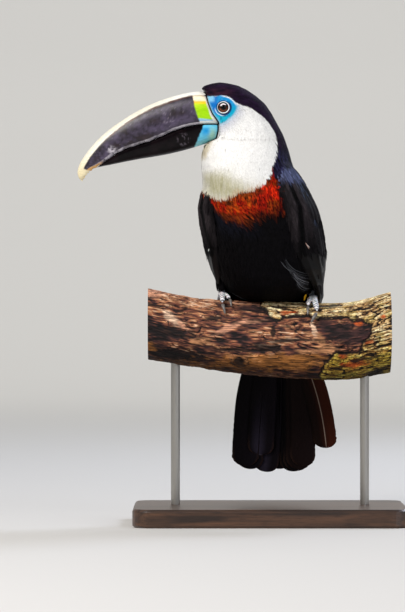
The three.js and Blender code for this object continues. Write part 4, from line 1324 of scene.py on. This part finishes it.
def makeEyes(material):
    tint = tintsOf(eyeTints)
    turn = np.linspace(0, 2 * np.pi, eyeGrid["around"], endpoint=False)
    tilt = np.linspace(0.002, np.pi - 0.002, eyeGrid["along"])
    r = eyes["radius"] * np.sin(tilt)[:, None]
    out = eyes["radius"] * np.cos(tilt)[:, None] * np.ones(len(turn))
    bulge = 0.35 * between(4.6, 0, r) * (out > 0)
    grid = np.stack([r * np.cos(turn), out + bulge, r * np.sin(turn)], -1).reshape(-1, 3)
    u, out, v = grid.T
    r, angle = np.hypot(u, v), np.arctan2(v, u)
    spokes = noise(np.column_stack([angle * 6, r * 0.6, 0 * r]), 0.5, 91)
    lit = between(1.0, -4.8, v)  # the iris is lit from below, shaded by the upper lid
    glint = between(0.85, 0.5, np.abs(r - 3.6)) * between(65, 40, np.abs(np.degrees(angle) - 100))
    colour = layered(
        tint["iris"], tint,
        ("irisLight", clamped(0.1 + 0.3 * spokes + 0.9 * lit) * between(2.2, 3.8, r)),
        # painted shade of the upper lid over the iris
        ("irisLidShade", between(0.5, 3.0, v) * 0.85),
        ("pupil", between(3.2, 2.2, np.hypot(u, v + 0.1))),
        ("sheen", glint),
        ("pupil", between(4.95, 5.2, r + 0.5 * between(0, 2, v))),
        ("pupil", (out < 0) * 1.0))
    for name, side in (("Left", 1), ("Right", -1)):
        way, centre = eyeFrame(side, np.zeros((1, 3)))[3:]
        alongHead = unit(np.cross(way, [0, 0, 1.0])) * -side
        placed = centre + grid[:, :1] * alongHead + grid[:, 1:2] * way + grid[:, 2:] * [0, 0, 1]
        thing = addMesh("eye" + name, placed, gridFaces(len(tilt), len(turn), True))
        paint(thing, "tint", colour)
        finish(thing, material, "eye", "eye_" + name.lower())


perch = {
    "axis": [[-134, 219], [-77, 208.5], [-22, 202.5], [33, 199.7], [88, 201], [132, 211]],
    "radii": [39.5, 39, 41.5, 42.3, 42.3, 44],
    "along": 400, "around": 400, "endRings": 22,
    "inset": 1.4,  # room for the relief inside the outline
    "spotLength": 1.25, "spotHeight": 1.35,  # marks are drawn this much larger than listed
}
perchTints = {
    "crack": "#0c0506", "purple": "#3a2121", "red": "#7d4934", "tan": "#b17d56", "pale": "#e0bda0",
    "pink": "#c48d70", "ochre": "#96602c", "dark": "#130a0c", "orange": "#b34c16",
    "bark": "#bf9860", "barkPale": "#fbeabb", "barkShade": "#6b4727", "olive": "#a59a2c", "barkDark": "#0e0806",
    "endGrain": "#b98f66", "endRing": "#7d573a", "moss": "#f4ea66",
}
# Where bare wood shows, as x and z from the front; bark covers the rest.
bareWood = [(-200, 300), (-11, 300), (-9, 240.5), (-2, 234), (0.6, 228.6), (6.2, 224.4), (17.4, 227.2), (25.9, 230.7),
            (42.7, 230), (56.7, 226.5), (70.8, 227.6), (84.8, 227.2), (87.6, 223), (98.8, 225.1), (110, 218.8),
            (111, 209), (103, 199.2), (98.8, 189.3), (87.6, 186.5), (72, 186.5), (62.4, 178.1), (56, 168.3),
            (54, 120), (-200, 120)]
# Knots as x, z and radius; scars and dark or pale places as x, z, half length, half height, lean and tint. The two
# dark places low on the left, at z 186 and 184, are painted shadow.
knots = [(-100.4, 238.4, 3.6), (80.6, 221.6, 5.4), (79, 193.5, 5), (-33, 178, 4.6), (26, 220, 4.6)]
marks = [(-134, 254, 14, 5, -9, "pink"), (-106, 225, 11, 4.5, -40, "pale"), (-95, 217, 9, 2.4, -38, "pink"),
         (-128, 241, 12, 1.5, -8, "dark"), (-112, 210, 30, 5.5, -6, "dark"), (-118, 186, 26, 4, -12, "dark"),
         (-92, 184, 22, 4.5, -10, "dark"), (-134, 193, 9, 4.5, -8, "ochre"), (-62, 226, 9, 2, 8, "dark"),
         (-52, 241, 9, 1.8, -6, "purple"), (-50, 213, 20, 2.6, 26, "pink"), (-22, 222, 14, 1.8, 8, "pink"),
         (-20, 237, 16, 3, -4, "purple"), (-4, 193, 19, 3.6, -4, "dark"), (3, 210, 2.4, 6, 0, "dark"),
         (-10, 176, 60, 7.5, 2, "ochre"), (35, 177, 32, 8, 3, "ochre"), (-33, 177, 8, 4, 0, "dark"),
         (-62, 203, 16, 1.6, -10, "dark"), (-76, 200, 12, 3, 6, "tan"), (47, 214, 2.6, 7, 20, "pale"),
         (55, 201, 4, 7, 24, "tan"), (60, 191, 13, 4, -8, "tan"), (40, 189, 13, 2.4, 2, "tan"),
         (88, 206, 20, 8, 0, "purple"), (96, 221.5, 5, 2.6, 12, "orange"), (56, 221, 9, 3, 10, "purple"),
         (74, 204, 16, 1.3, 8, "dark"), (20, 201, 24, 1.5, 2, "dark"), (-30, 190, 24, 1.5, -2, "dark")]
barkMarks = [(79, 183.7, 5, 2.4, 0, "orange"), (106, 199, 6, 2.4, 20, "orange"), (122.6, 227, 2.6, 1.8, 0, "orange"),
             (20, 231.5, 9, 1.6, 4, "orange"), (93, 176, 13, 3.6, 8, "orange"), (12, 238, 14, 1.3, -3, "barkDark"),
             (62, 239, 22, 1.2, 2, "barkDark"), (104, 181, 16, 1.5, 10, "barkDark"), (116, 165, 12, 4, 20, "barkDark")]


def perchSurface(t, a):
    # radius of the wood at share t along and angle a forward of the top, without its relief
    plain = np.interp(t, np.linspace(0, 1, len(perch["radii"])), perch["radii"])
    return plain + 0.9 * np.sin(3 * a + 5 * t) + 0.6 * np.sin(5 * a - 7 * t)


def terraces(values, steps):
    # the same field broken into flat steps, and how near each place is to a step's foot
    scaled = values * steps
    rest = scaled - np.floor(scaled)
    return (np.floor(scaled) + between(0, 0.35, rest)) / steps, between(0.3, 0.0, rest) + between(0.97, 1, rest)


def ramp(tint, values, stops, names):
    table = np.array([tint[name] for name in names])
    return np.stack([np.interp(values, stops, table[:, k]) for k in range(3)], -1)


def addSpots(spots, tint, front, fields, colours, relief, shown):
    # each spot fades out along a ragged edge and keeps the streaks under it
    for middleX, middleZ, long, high, lean, name in spots:
        turn = np.radians(lean)
        dx, dz = front[:, 0] - middleX, front[:, 1] - middleZ
        u = (dx * np.cos(turn) + dz * np.sin(turn)) / (perch["spotLength"] * long)
        v = (dz * np.cos(turn) - dx * np.sin(turn)) / (perch["spotHeight"] * high)
        edge = np.hypot(u, v) - 0.30 * fields["ragged"] - 0.28 * fields["middle"]
        share = between(1.15, 0.55, edge) * shown
        deep = name in ("dark", "barkDark", "purple")
        tone = np.clip((0.7 if deep else 0.9) + 1.2 * fields["rough"], 0.25, 1.6)[:, None]
        colours = mixed(colours, tint[name] * tone, share * (0.92 if deep else 0.85))
        relief = relief - share * (0.5 if deep else -0.15)
    return colours, relief


def branchLooks(places, front, degrees):
    # colour, relief and share of bark all over the branch
    tint = tintsOf(perchTints)
    sway = np.column_stack([noise(places, 26, 100 + k) + 0.35 * noise(places, 9, 104 + k) for k in range(3)])
    flow = places + sway * [1, 2, 2]
    ragged = fractal(places, 7, 3, 103)

    def streaks(size, stretch, seed):
        return noise(flow * [1 / stretch, 1, 1], size, seed)

    inside = insideDistance(front, bareWood)
    behind = np.interp(degrees, [-180, -90, 0], [54, 20, -10]) - front[:, 0]
    toBark = np.where(degrees > 0, inside, behind) + 2.6 * ragged
    isBark = between(0.35, -0.35, toBark)

    coarse, middle, fine = streaks(3.6, 4.5, 105), streaks(1.9, 5, 106), streaks(1.15, 5, 107)
    lumps = fractal(places * [0.5, 1, 1], 17, 3, 108)
    # painted shadow at the foot of each step in the wood
    stepShadow = terraces(0.5 + 0.5 * streaks(4.2, 4, 109) + 0.15 * middle, 4)[1]
    split = between(0.12, 0.0, np.abs(streaks(3.4, 5, 110))) * between(-0.2, 0.3, lumps)
    rough = 0.20 * coarse + 0.32 * middle + 0.36 * fine
    wood = 0.43 + 0.9 * rough + 0.28 * lumps - 0.30 * stepShadow * between(-0.3, 0.3, coarse + lumps) - 0.55 * split

    # painted shadow under the lower edge of each bark flake
    flakes, flakeShadow = terraces(0.5 + 0.55 * streaks(4, 4.5, 112) + 0.2 * streaks(1.8, 4, 113), 4)
    gap = between(0.2, 0.06, np.abs(streaks(3.2, 5.5, 114)))
    bark = 0.55 + 0.45 * (flakes - 0.5) + 0.26 * fine + 0.22 * middle - 0.55 * flakeShadow - 0.65 * gap

    facing = (degrees > 0) * 1.0
    woodColour = ramp(tint, wood + 0.08 * between(0, -80, front[:, 0]) * between(215, 235, front[:, 1]),
                      [0.06, 0.28, 0.5, 0.72, 0.98], ["crack", "purple", "red", "tan", "pale"])
    # painted light: the top of the bare wood is paler pink
    litTop = between(45, 12, degrees) * facing * clamped(0.35 + 0.9 * middle)
    # painted shade: darker low on the left
    lowShade = between(204, 190, front[:, 1] + 6 * lumps) * between(-40, -62, front[:, 0])
    woodColour = layered(woodColour, tint, ("pink", litTop * 0.55),
                         ("dark", lowShade * np.clip(0.5 - 0.5 * rough, 0, 0.8)))
    barkColour = ramp(tint, bark, [0.05, 0.3, 0.52, 0.85], ["barkDark", "barkShade", "bark", "barkPale"])
    lower = between(204, 184, front[:, 1] + 5 * lumps)
    barkColour = mixed(barkColour, barkColour * tint["moss"], lower * 0.85)
    barkColour = mixed(barkColour, tint["olive"] * np.clip(0.1 + 1.3 * bark, 0.05, 1.4)[:, None],
                       between(0.2, 0.6, noise(places, 10, 116) + 0.35 * lower) * 0.3)
    fields = {"ragged": ragged, "middle": middle, "rough": rough}
    woodColour, woodRelief = addSpots(marks, tint, front, fields, woodColour, wood, facing)
    barkColour, barkRelief = addSpots(barkMarks, tint, front, fields, barkColour, bark, facing)
    relief = 1.7 * (woodRelief - 0.5) * (1 - isBark) + (1.2 + 1.5 * (barkRelief - 0.5)) * isBark
    lip = between(2.2, 0.4, np.abs(toBark - 0.9))  # the shadow under the bark's broken edge
    colours = layered(mixed(woodColour, barkColour, isBark), tint, ("crack", lip * np.where(degrees > 0, 0.95, 0.6)))
    relief = relief - 0.8 * lip * (1 - isBark)
    for knotX, knotZ, size in knots:
        far = np.hypot((front[:, 0] - knotX) * 0.8, front[:, 1] - knotZ) / size + 0.5 * ragged + 0.22 * middle
        relief = relief + facing * (1.2 * np.exp(-((far - 0.9) / 0.45) ** 2) - 0.9 * np.exp(-(far / 0.4) ** 2))
        low = between(0, -4, front[:, 1] - knotZ + 2 * ragged)
        colours = layered(
            colours, tint, ("crack", facing * between(0.5, 0.1, np.abs(far - 1.35)) * (0.3 + 0.5 * low)),
            ("crack", facing * between(0.5, 0.1, far) * 0.6))
    colours = mixed(colours, colours * 0.35, between(120, 160, np.abs(degrees)))  # painted shade: the underside is darker
    return np.clip(colours, 0, 0.9), relief, isBark


def sawnEnds(points, x, height, spokes):
    # flat sawn ends: rings of end grain shrink to the pith
    tint = tintsOf(perchTints)
    shares = np.linspace(0.985, 0.0, perch["endRings"])
    ends = []
    for row, way in ((0, 1), (-1, -1)):
        centre = np.array([x[row, 0], 0, height[row, 0]])
        rings = centre + (points[row] - centre)[None] * shares[:, None, None]
        rings[..., 0] += 0.25 * way * (0.5 + 0.5 * np.sin(shares * 40))[:, None]
        ends.append(rings)
    rings = 0.5 + 0.5 * np.sin(shares * 75)[:, None] * np.ones(len(spokes))
    colours = mixed(tint["endGrain"], tint["endRing"], rings)
    checks = between(0.55, 0.8, spokes)[None] * between(0.2, 0.6, shares)[:, None]
    return ends, mixed(colours, tint["crack"], checks * 0.7)


def makePerch(material):
    along, around = perch["along"], perch["around"]
    first, last = perch["axis"][0][0], perch["axis"][-1][0]
    t = np.linspace(0, 1, along)[:, None] * np.ones(around)
    a = np.linspace(-np.pi, np.pi, around, endpoint=False)[None] * np.ones((along, 1))
    x = first + (last - first) * t
    height = readTable(perch["axis"], x)[..., 0]
    radius = perchSurface(t, a)
    ring = radius * np.stack([np.sin(a), np.cos(a)])  # so that the patterns close round the wood
    places = np.stack([x, ring[0], ring[1]], -1).reshape(-1, 3)
    front = np.column_stack([x.ravel(), (height + ring[1]).ravel()])
    colours, relief, isBark = branchLooks(places, front, np.degrees(a).ravel())
    relief = np.clip(relief.reshape(along, around), -2.2, 2.6)
    radius = radius - perch["inset"] + relief
    points = np.stack([x, -radius * np.sin(a), height + radius * np.cos(a)], -1)
    ends, endColours = sawnEnds(points, x, height, noise(places, 3, 118).reshape(along, around)[0])
    grid = np.concatenate([ends[0][::-1], points, ends[1]])
    colours = np.concatenate([endColours[::-1], colours.reshape(along, around, 3), endColours])
    bare = np.zeros(endColours.shape[:2])
    barkShare = np.concatenate([bare, isBark.reshape(along, around), bare])
    thing = addMesh("branch", grid.reshape(-1, 3), gridFaces(len(grid), around, True))
    paint(thing, "tint", colours.reshape(-1, 3))
    paint(thing, "vane", np.repeat(barkShare.reshape(-1, 1), 3, axis=1))
    finish(thing, material, "wood", "perch")


def featherMaterial():
    # Feather keratin, grown as barbs off a shaft: soft, with a faint satin sheen and fine diagonal
    # barb lines. Real barbs are 0.3 mm apart. Here 27 are drawn along each piece so that they show:
    # 0.2 to 0.9 mm apart on the locks, and more on the long vanes.
    material, tree, shader = startMaterial("barbedFeather", {
        "Roughness": 0.62, "IOR": 1.54, "Specular IOR Level": 0.05,
    })
    tint = addNode(tree, "ShaderNodeAttribute", {"attribute_name": "tint"}).outputs
    vane = addNode(tree, "ShaderNodeAttribute", {"attribute_name": "vane"}).outputs
    place = addNode(tree, "ShaderNodeTexCoord").outputs["Object"]
    split = addNode(tree, "ShaderNodeSeparateColor", links={"Color": vane["Color"]})
    offset = addNode(tree, "ShaderNodeMath", {"operation": "SUBTRACT", 1: 0.5}, {0: split.outputs[0]})
    spread = addNode(tree, "ShaderNodeMath", {"operation": "ABSOLUTE"}, {0: offset.outputs[0]})
    slope = addNode(tree, "ShaderNodeMath", {"operation": "MULTIPLY_ADD", 1: -0.35},
                    {0: spread.outputs[0], 2: split.outputs[1]})
    barbs = addNode(tree, "ShaderNodeMath", {"operation": "MULTIPLY", 1: 170.0}, {0: slope.outputs[0]})
    wave = addNode(tree, "ShaderNodeMath", {"operation": "SINE"}, {0: barbs.outputs[0]})
    fleck = addNode(tree, "ShaderNodeTexNoise", {"Scale": 900.0, "Detail": 3.0}, {"Vector": place})
    tone = addNode(tree, "ShaderNodeMapRange", {"From Min": 0.3, "From Max": 0.7, "To Min": 0.86, "To Max": 1.12},
                   {"Value": fleck.outputs[0]})
    height = addNode(tree, "ShaderNodeMath", {"operation": "MULTIPLY_ADD", 1: 0.5},
                     {0: wave.outputs[0], 2: fleck.outputs[0]})
    linkLooks(tree, shader, tint["Color"], tone.outputs[0], height.outputs[0], {"Strength": 0.25, "Distance": 0.0003})
    return material


def skinMaterial():
    # Bare bird skin, thin and slightly moist over the face, dry and scaly on the feet.
    material, tree, shader = startMaterial("bareSkin", {
        "Roughness": 0.48, "IOR": 1.4, "Subsurface Weight": 0.08, "Subsurface Scale": 0.002,
        "Specular IOR Level": 0.2,
    })
    tint = addNode(tree, "ShaderNodeAttribute", {"attribute_name": "tint"}).outputs
    place = addNode(tree, "ShaderNodeTexCoord").outputs["Object"]
    # papillae about 0.9 mm apart
    cells = addNode(tree, "ShaderNodeTexVoronoi", {"Scale": 1100.0}, {"Vector": place}).outputs["Distance"]
    tone = addNode(tree, "ShaderNodeMapRange", {"From Max": 0.7, "To Min": 1.08, "To Max": 0.84}, {"Value": cells})
    linkLooks(tree, shader, tint["Color"], tone.outputs[0], cells,
              {"Strength": 0.3, "Distance": 0.0002, "invert": True})
    return material


def hornMaterial():
    # Keratin horn sheath, grown in long layers and worn smooth: a satin polish with growth lines
    # 1.4 mm apart, drawn out along the bill.
    material, tree, shader = startMaterial("wornHorn", {"Roughness": 0.36, "IOR": 1.55})
    tint = addNode(tree, "ShaderNodeAttribute", {"attribute_name": "tint"}).outputs
    wear = addNode(tree, "ShaderNodeAttribute", {"attribute_name": "wear"}).outputs
    place = addNode(tree, "ShaderNodeTexCoord").outputs["Object"]
    tree.links.new(wear["Fac"], shader.inputs["Specular IOR Level"])
    stretch = addNode(tree, "ShaderNodeMapping", {"Scale": (0.25, 1, 1), "Rotation": (0, 0.5, 0)},
                      {"Vector": place}).outputs[0]
    lines = addNode(tree, "ShaderNodeTexNoise", {"Scale": 700.0, "Detail": 4.0}, {"Vector": stretch})
    clouds = addNode(tree, "ShaderNodeTexNoise", {"Scale": 90.0, "Detail": 3.0}, {"Vector": place})
    tone = addNode(tree, "ShaderNodeMapRange", {"From Min": 0.3, "From Max": 0.7, "To Min": 0.88, "To Max": 1.1},
                   {"Value": lines.outputs[0]})
    rough = addNode(tree, "ShaderNodeMapRange", {"From Min": 0.3, "From Max": 0.7, "To Min": 0.30, "To Max": 0.46},
                    {"Value": clouds.outputs[0]})
    tree.links.new(rough.outputs[0], shader.inputs["Roughness"])
    linkLooks(tree, shader, tint["Color"], tone.outputs[0], lines.outputs[0], {"Strength": 0.25, "Distance": 0.00025})
    return material


def eyeMaterial():
    # Living cornea over a brown iris: a wet, mirror-clear coat over fibres 0.4 mm across.
    material, tree, shader = startMaterial("wetCornea", {
        "Roughness": 0.12, "IOR": 1.38, "Specular IOR Level": 0.05, "Coat Weight": 0.45, "Coat Roughness": 0.02,
        "Coat IOR": 1.38,
    })
    tint = addNode(tree, "ShaderNodeAttribute", {"attribute_name": "tint"}).outputs
    place = addNode(tree, "ShaderNodeTexCoord").outputs["Object"]
    fibre = addNode(tree, "ShaderNodeTexNoise", {"Scale": 2500.0, "Detail": 2.0}, {"Vector": place})
    tone = addNode(tree, "ShaderNodeMapRange", {"To Min": 0.8, "To Max": 1.2}, {"Value": fibre.outputs[0]})
    linkLooks(tree, shader, tint["Color"], tone.outputs[0])
    return material


def woodMaterial():
    # A dead branch, weathered: dry and rough, with fibres 1.1 mm across on the bare wood, coarser than
    # real ones so that they show, crumbs of bark 2.4 mm across and drying cracks along the grain.
    material, tree, shader = startMaterial("weatheredBranch", {
        "Roughness": 0.75, "IOR": 1.5, "Specular IOR Level": 0.3,
    })
    tint = addNode(tree, "ShaderNodeAttribute", {"attribute_name": "tint"}).outputs
    bark = addNode(tree, "ShaderNodeAttribute", {"attribute_name": "vane"}).outputs
    place = addNode(tree, "ShaderNodeTexCoord").outputs["Object"]
    along = addNode(tree, "ShaderNodeMapping", {"Scale": (0.06, 1, 1), "Rotation": (0, 0.06, 0)},
                    {"Vector": place}).outputs[0]
    fibre = addNode(tree, "ShaderNodeTexNoise", {"Scale": 900.0, "Detail": 4.0}, {"Vector": along})
    crumb = addNode(tree, "ShaderNodeTexNoise", {"Scale": 420.0, "Detail": 6.0, "Roughness": 0.65},
                    {"Vector": place})
    grain = addNode(tree, "ShaderNodeMix", {}, {0: bark["Fac"], 2: fibre.outputs[0], 3: crumb.outputs[0]})
    tone = addNode(tree, "ShaderNodeMapRange", {"From Min": 0.33, "From Max": 0.67, "To Min": 0.45, "To Max": 1.62},
                   {"Value": grain.outputs[0]})
    aslant = addNode(tree, "ShaderNodeMapping", {"Scale": (0.13, 1, 1), "Rotation": (0, -0.04, 0)},
                     {"Vector": place}).outputs[0]
    cracks = addNode(tree, "ShaderNodeTexNoise", {"Scale": 520.0, "Detail": 3.0}, {"Vector": aslant})
    depth = addNode(tree, "ShaderNodeMapRange", {"From Min": 0.37, "From Max": 0.43, "To Min": 0.25, "To Max": 1.0},
                    {"Value": cracks.outputs[0]})
    both = addNode(tree, "ShaderNodeMath", {"operation": "MULTIPLY"}, {0: tone.outputs[0], 1: depth.outputs[0]})
    linkLooks(tree, shader, tint["Color"], both.outputs[0], grain.outputs[0], {"Strength": 0.9, "Distance": 0.0011})
    return material


def clawMaterial():
    # Claw keratin, grown in layers: dark and smooth, with growth streaks 2 mm across.
    material, tree, shader = startMaterial("clawKeratin", {"Roughness": 0.35, "IOR": 1.55})
    place = addNode(tree, "ShaderNodeTexCoord").outputs["Object"]
    streak = addNode(tree, "ShaderNodeTexNoise", {"Scale": 500.0, "Detail": 3.0}, {"Vector": place}).outputs[0]
    base = addNode(tree, "ShaderNodeMix",
                   {"data_type": "RGBA", 6: socketColour("#151212"), 7: socketColour("#8d8782")},
                   {0: streak})
    linkLooks(tree, shader, base.outputs[2], height=streak, bump={"Strength": 0.2, "Distance": 0.0001})
    return material


def boardMaterial():
    # Walnut board, planed and oiled: dark long grain under a low satin.
    material, tree, shader = startMaterial("oiledWalnut", {
        "Roughness": 0.38, "IOR": 1.5, "Coat Weight": 0.15, "Coat Roughness": 0.3,
    })
    place = addNode(tree, "ShaderNodeTexCoord").outputs["Object"]
    # grain bands 9 mm across, pores 0.9 mm across, coarser than real ones so that they show
    along = addNode(tree, "ShaderNodeMapping", {"Scale": (0.07, 1, 1)}, {"Vector": place}).outputs[0]
    rings = addNode(tree, "ShaderNodeTexNoise", {"Scale": 110.0, "Detail": 5.0, "Distortion": 0.6}, {"Vector": along})
    pores = addNode(tree, "ShaderNodeTexNoise", {"Scale": 1100.0, "Detail": 2.0}, {"Vector": along}).outputs[0]
    share = addNode(tree, "ShaderNodeMapRange", {"From Min": 0.35, "From Max": 0.65}, {"Value": rings.outputs[0]})
    base = addNode(tree, "ShaderNodeMix",
                   {"data_type": "RGBA", 6: socketColour("#2b1c14"), 7: socketColour("#5d3f2c")},
                   {0: share.outputs[0]})
    tone = addNode(tree, "ShaderNodeMapRange", {"From Min": 0.35, "From Max": 0.5, "To Min": 0.6, "To Max": 1.0},
                   {"Value": pores})
    linkLooks(tree, shader, base.outputs[2], tone.outputs[0], pores, {"Strength": 0.2, "Distance": 0.0002})
    return material


def steelMaterial():
    # Stainless steel rod, brushed round: long soft highlights with fine scratches 0.5 mm apart.
    material, tree, shader = startMaterial("brushedSteel", {
        "Base Color": socketColour("#b5b2ac"), "Metallic": 1.0, "Roughness": 0.3,
    })
    place = addNode(tree, "ShaderNodeTexCoord").outputs["Object"]
    stretch = addNode(tree, "ShaderNodeMapping", {"Scale": (0.1, 0.1, 1)}, {"Vector": place}).outputs[0]
    scratch = addNode(tree, "ShaderNodeTexNoise", {"Scale": 2200.0, "Detail": 3.0}, {"Vector": stretch})
    rough = addNode(tree, "ShaderNodeMapRange", {"To Min": 0.22, "To Max": 0.42}, {"Value": scratch.outputs[0]})
    tree.links.new(rough.outputs[0], shader.inputs["Roughness"])
    bump = addNode(tree, "ShaderNodeBump", {"Strength": 0.15, "Distance": 0.0001}, {"Height": scratch.outputs[0]})
    tree.links.new(bump.outputs[0], shader.inputs["Normal"])
    return material


def dressNode(name, material, bevel=0.0, rounds=0, swell=0.0):
    thing = nodes[name]
    thing.data.materials.clear()
    thing.data.materials.append(material)
    weld = thing.modifiers.new("weld", "WELD")
    weld.merge_threshold = 1e-5
    if bevel:
        edges = thing.modifiers.new("edges", "BEVEL")
        edges.width, edges.segments = bevel / 1000, 3
        edges.harden_normals = False
    if rounds:
        smooth = thing.modifiers.new("smooth", "SUBSURF")
        smooth.levels = smooth.render_levels = rounds
        fuller = thing.modifiers.new("fuller", "DISPLACE")  # gives back what rounding takes off
        fuller.strength, fuller.mid_level = swell / 1000, 0
        thing.data.polygons.foreach_set("use_smooth", np.ones(len(thing.data.polygons), bool))


makeView()
print("view made")
form = makeForm()
wingShare = between(1.6, 0.5, distanceTo(["wing_left", "wing_right"], form["points"]))
print("form made:", len(form["points"]), "points")
feather = featherMaterial()
makeSkin(form, wingShare, skinMaterial())
print("skin made")
makeCoat(form, wingShare, feather)
makePlumes(form, feather)
makeThighs(feather)
makeWings(feather)
makeTail(feather)
print("feathers made")
makeBill(hornMaterial())
makeEyes(eyeMaterial())
print("bill and eyes made")
makePerch(woodMaterial())
claw, steel = clawMaterial(), steelMaterial()
for side in ("left", "right"):
    for k in range(1, 5):
        dressNode(f"claw_{side}_{k}", claw, rounds=2, swell=0.35)
    dressNode("stand_rod_" + side, steel)
dressNode("stand_base", boardMaterial(), bevel=1.2)
print("perch and stand made")
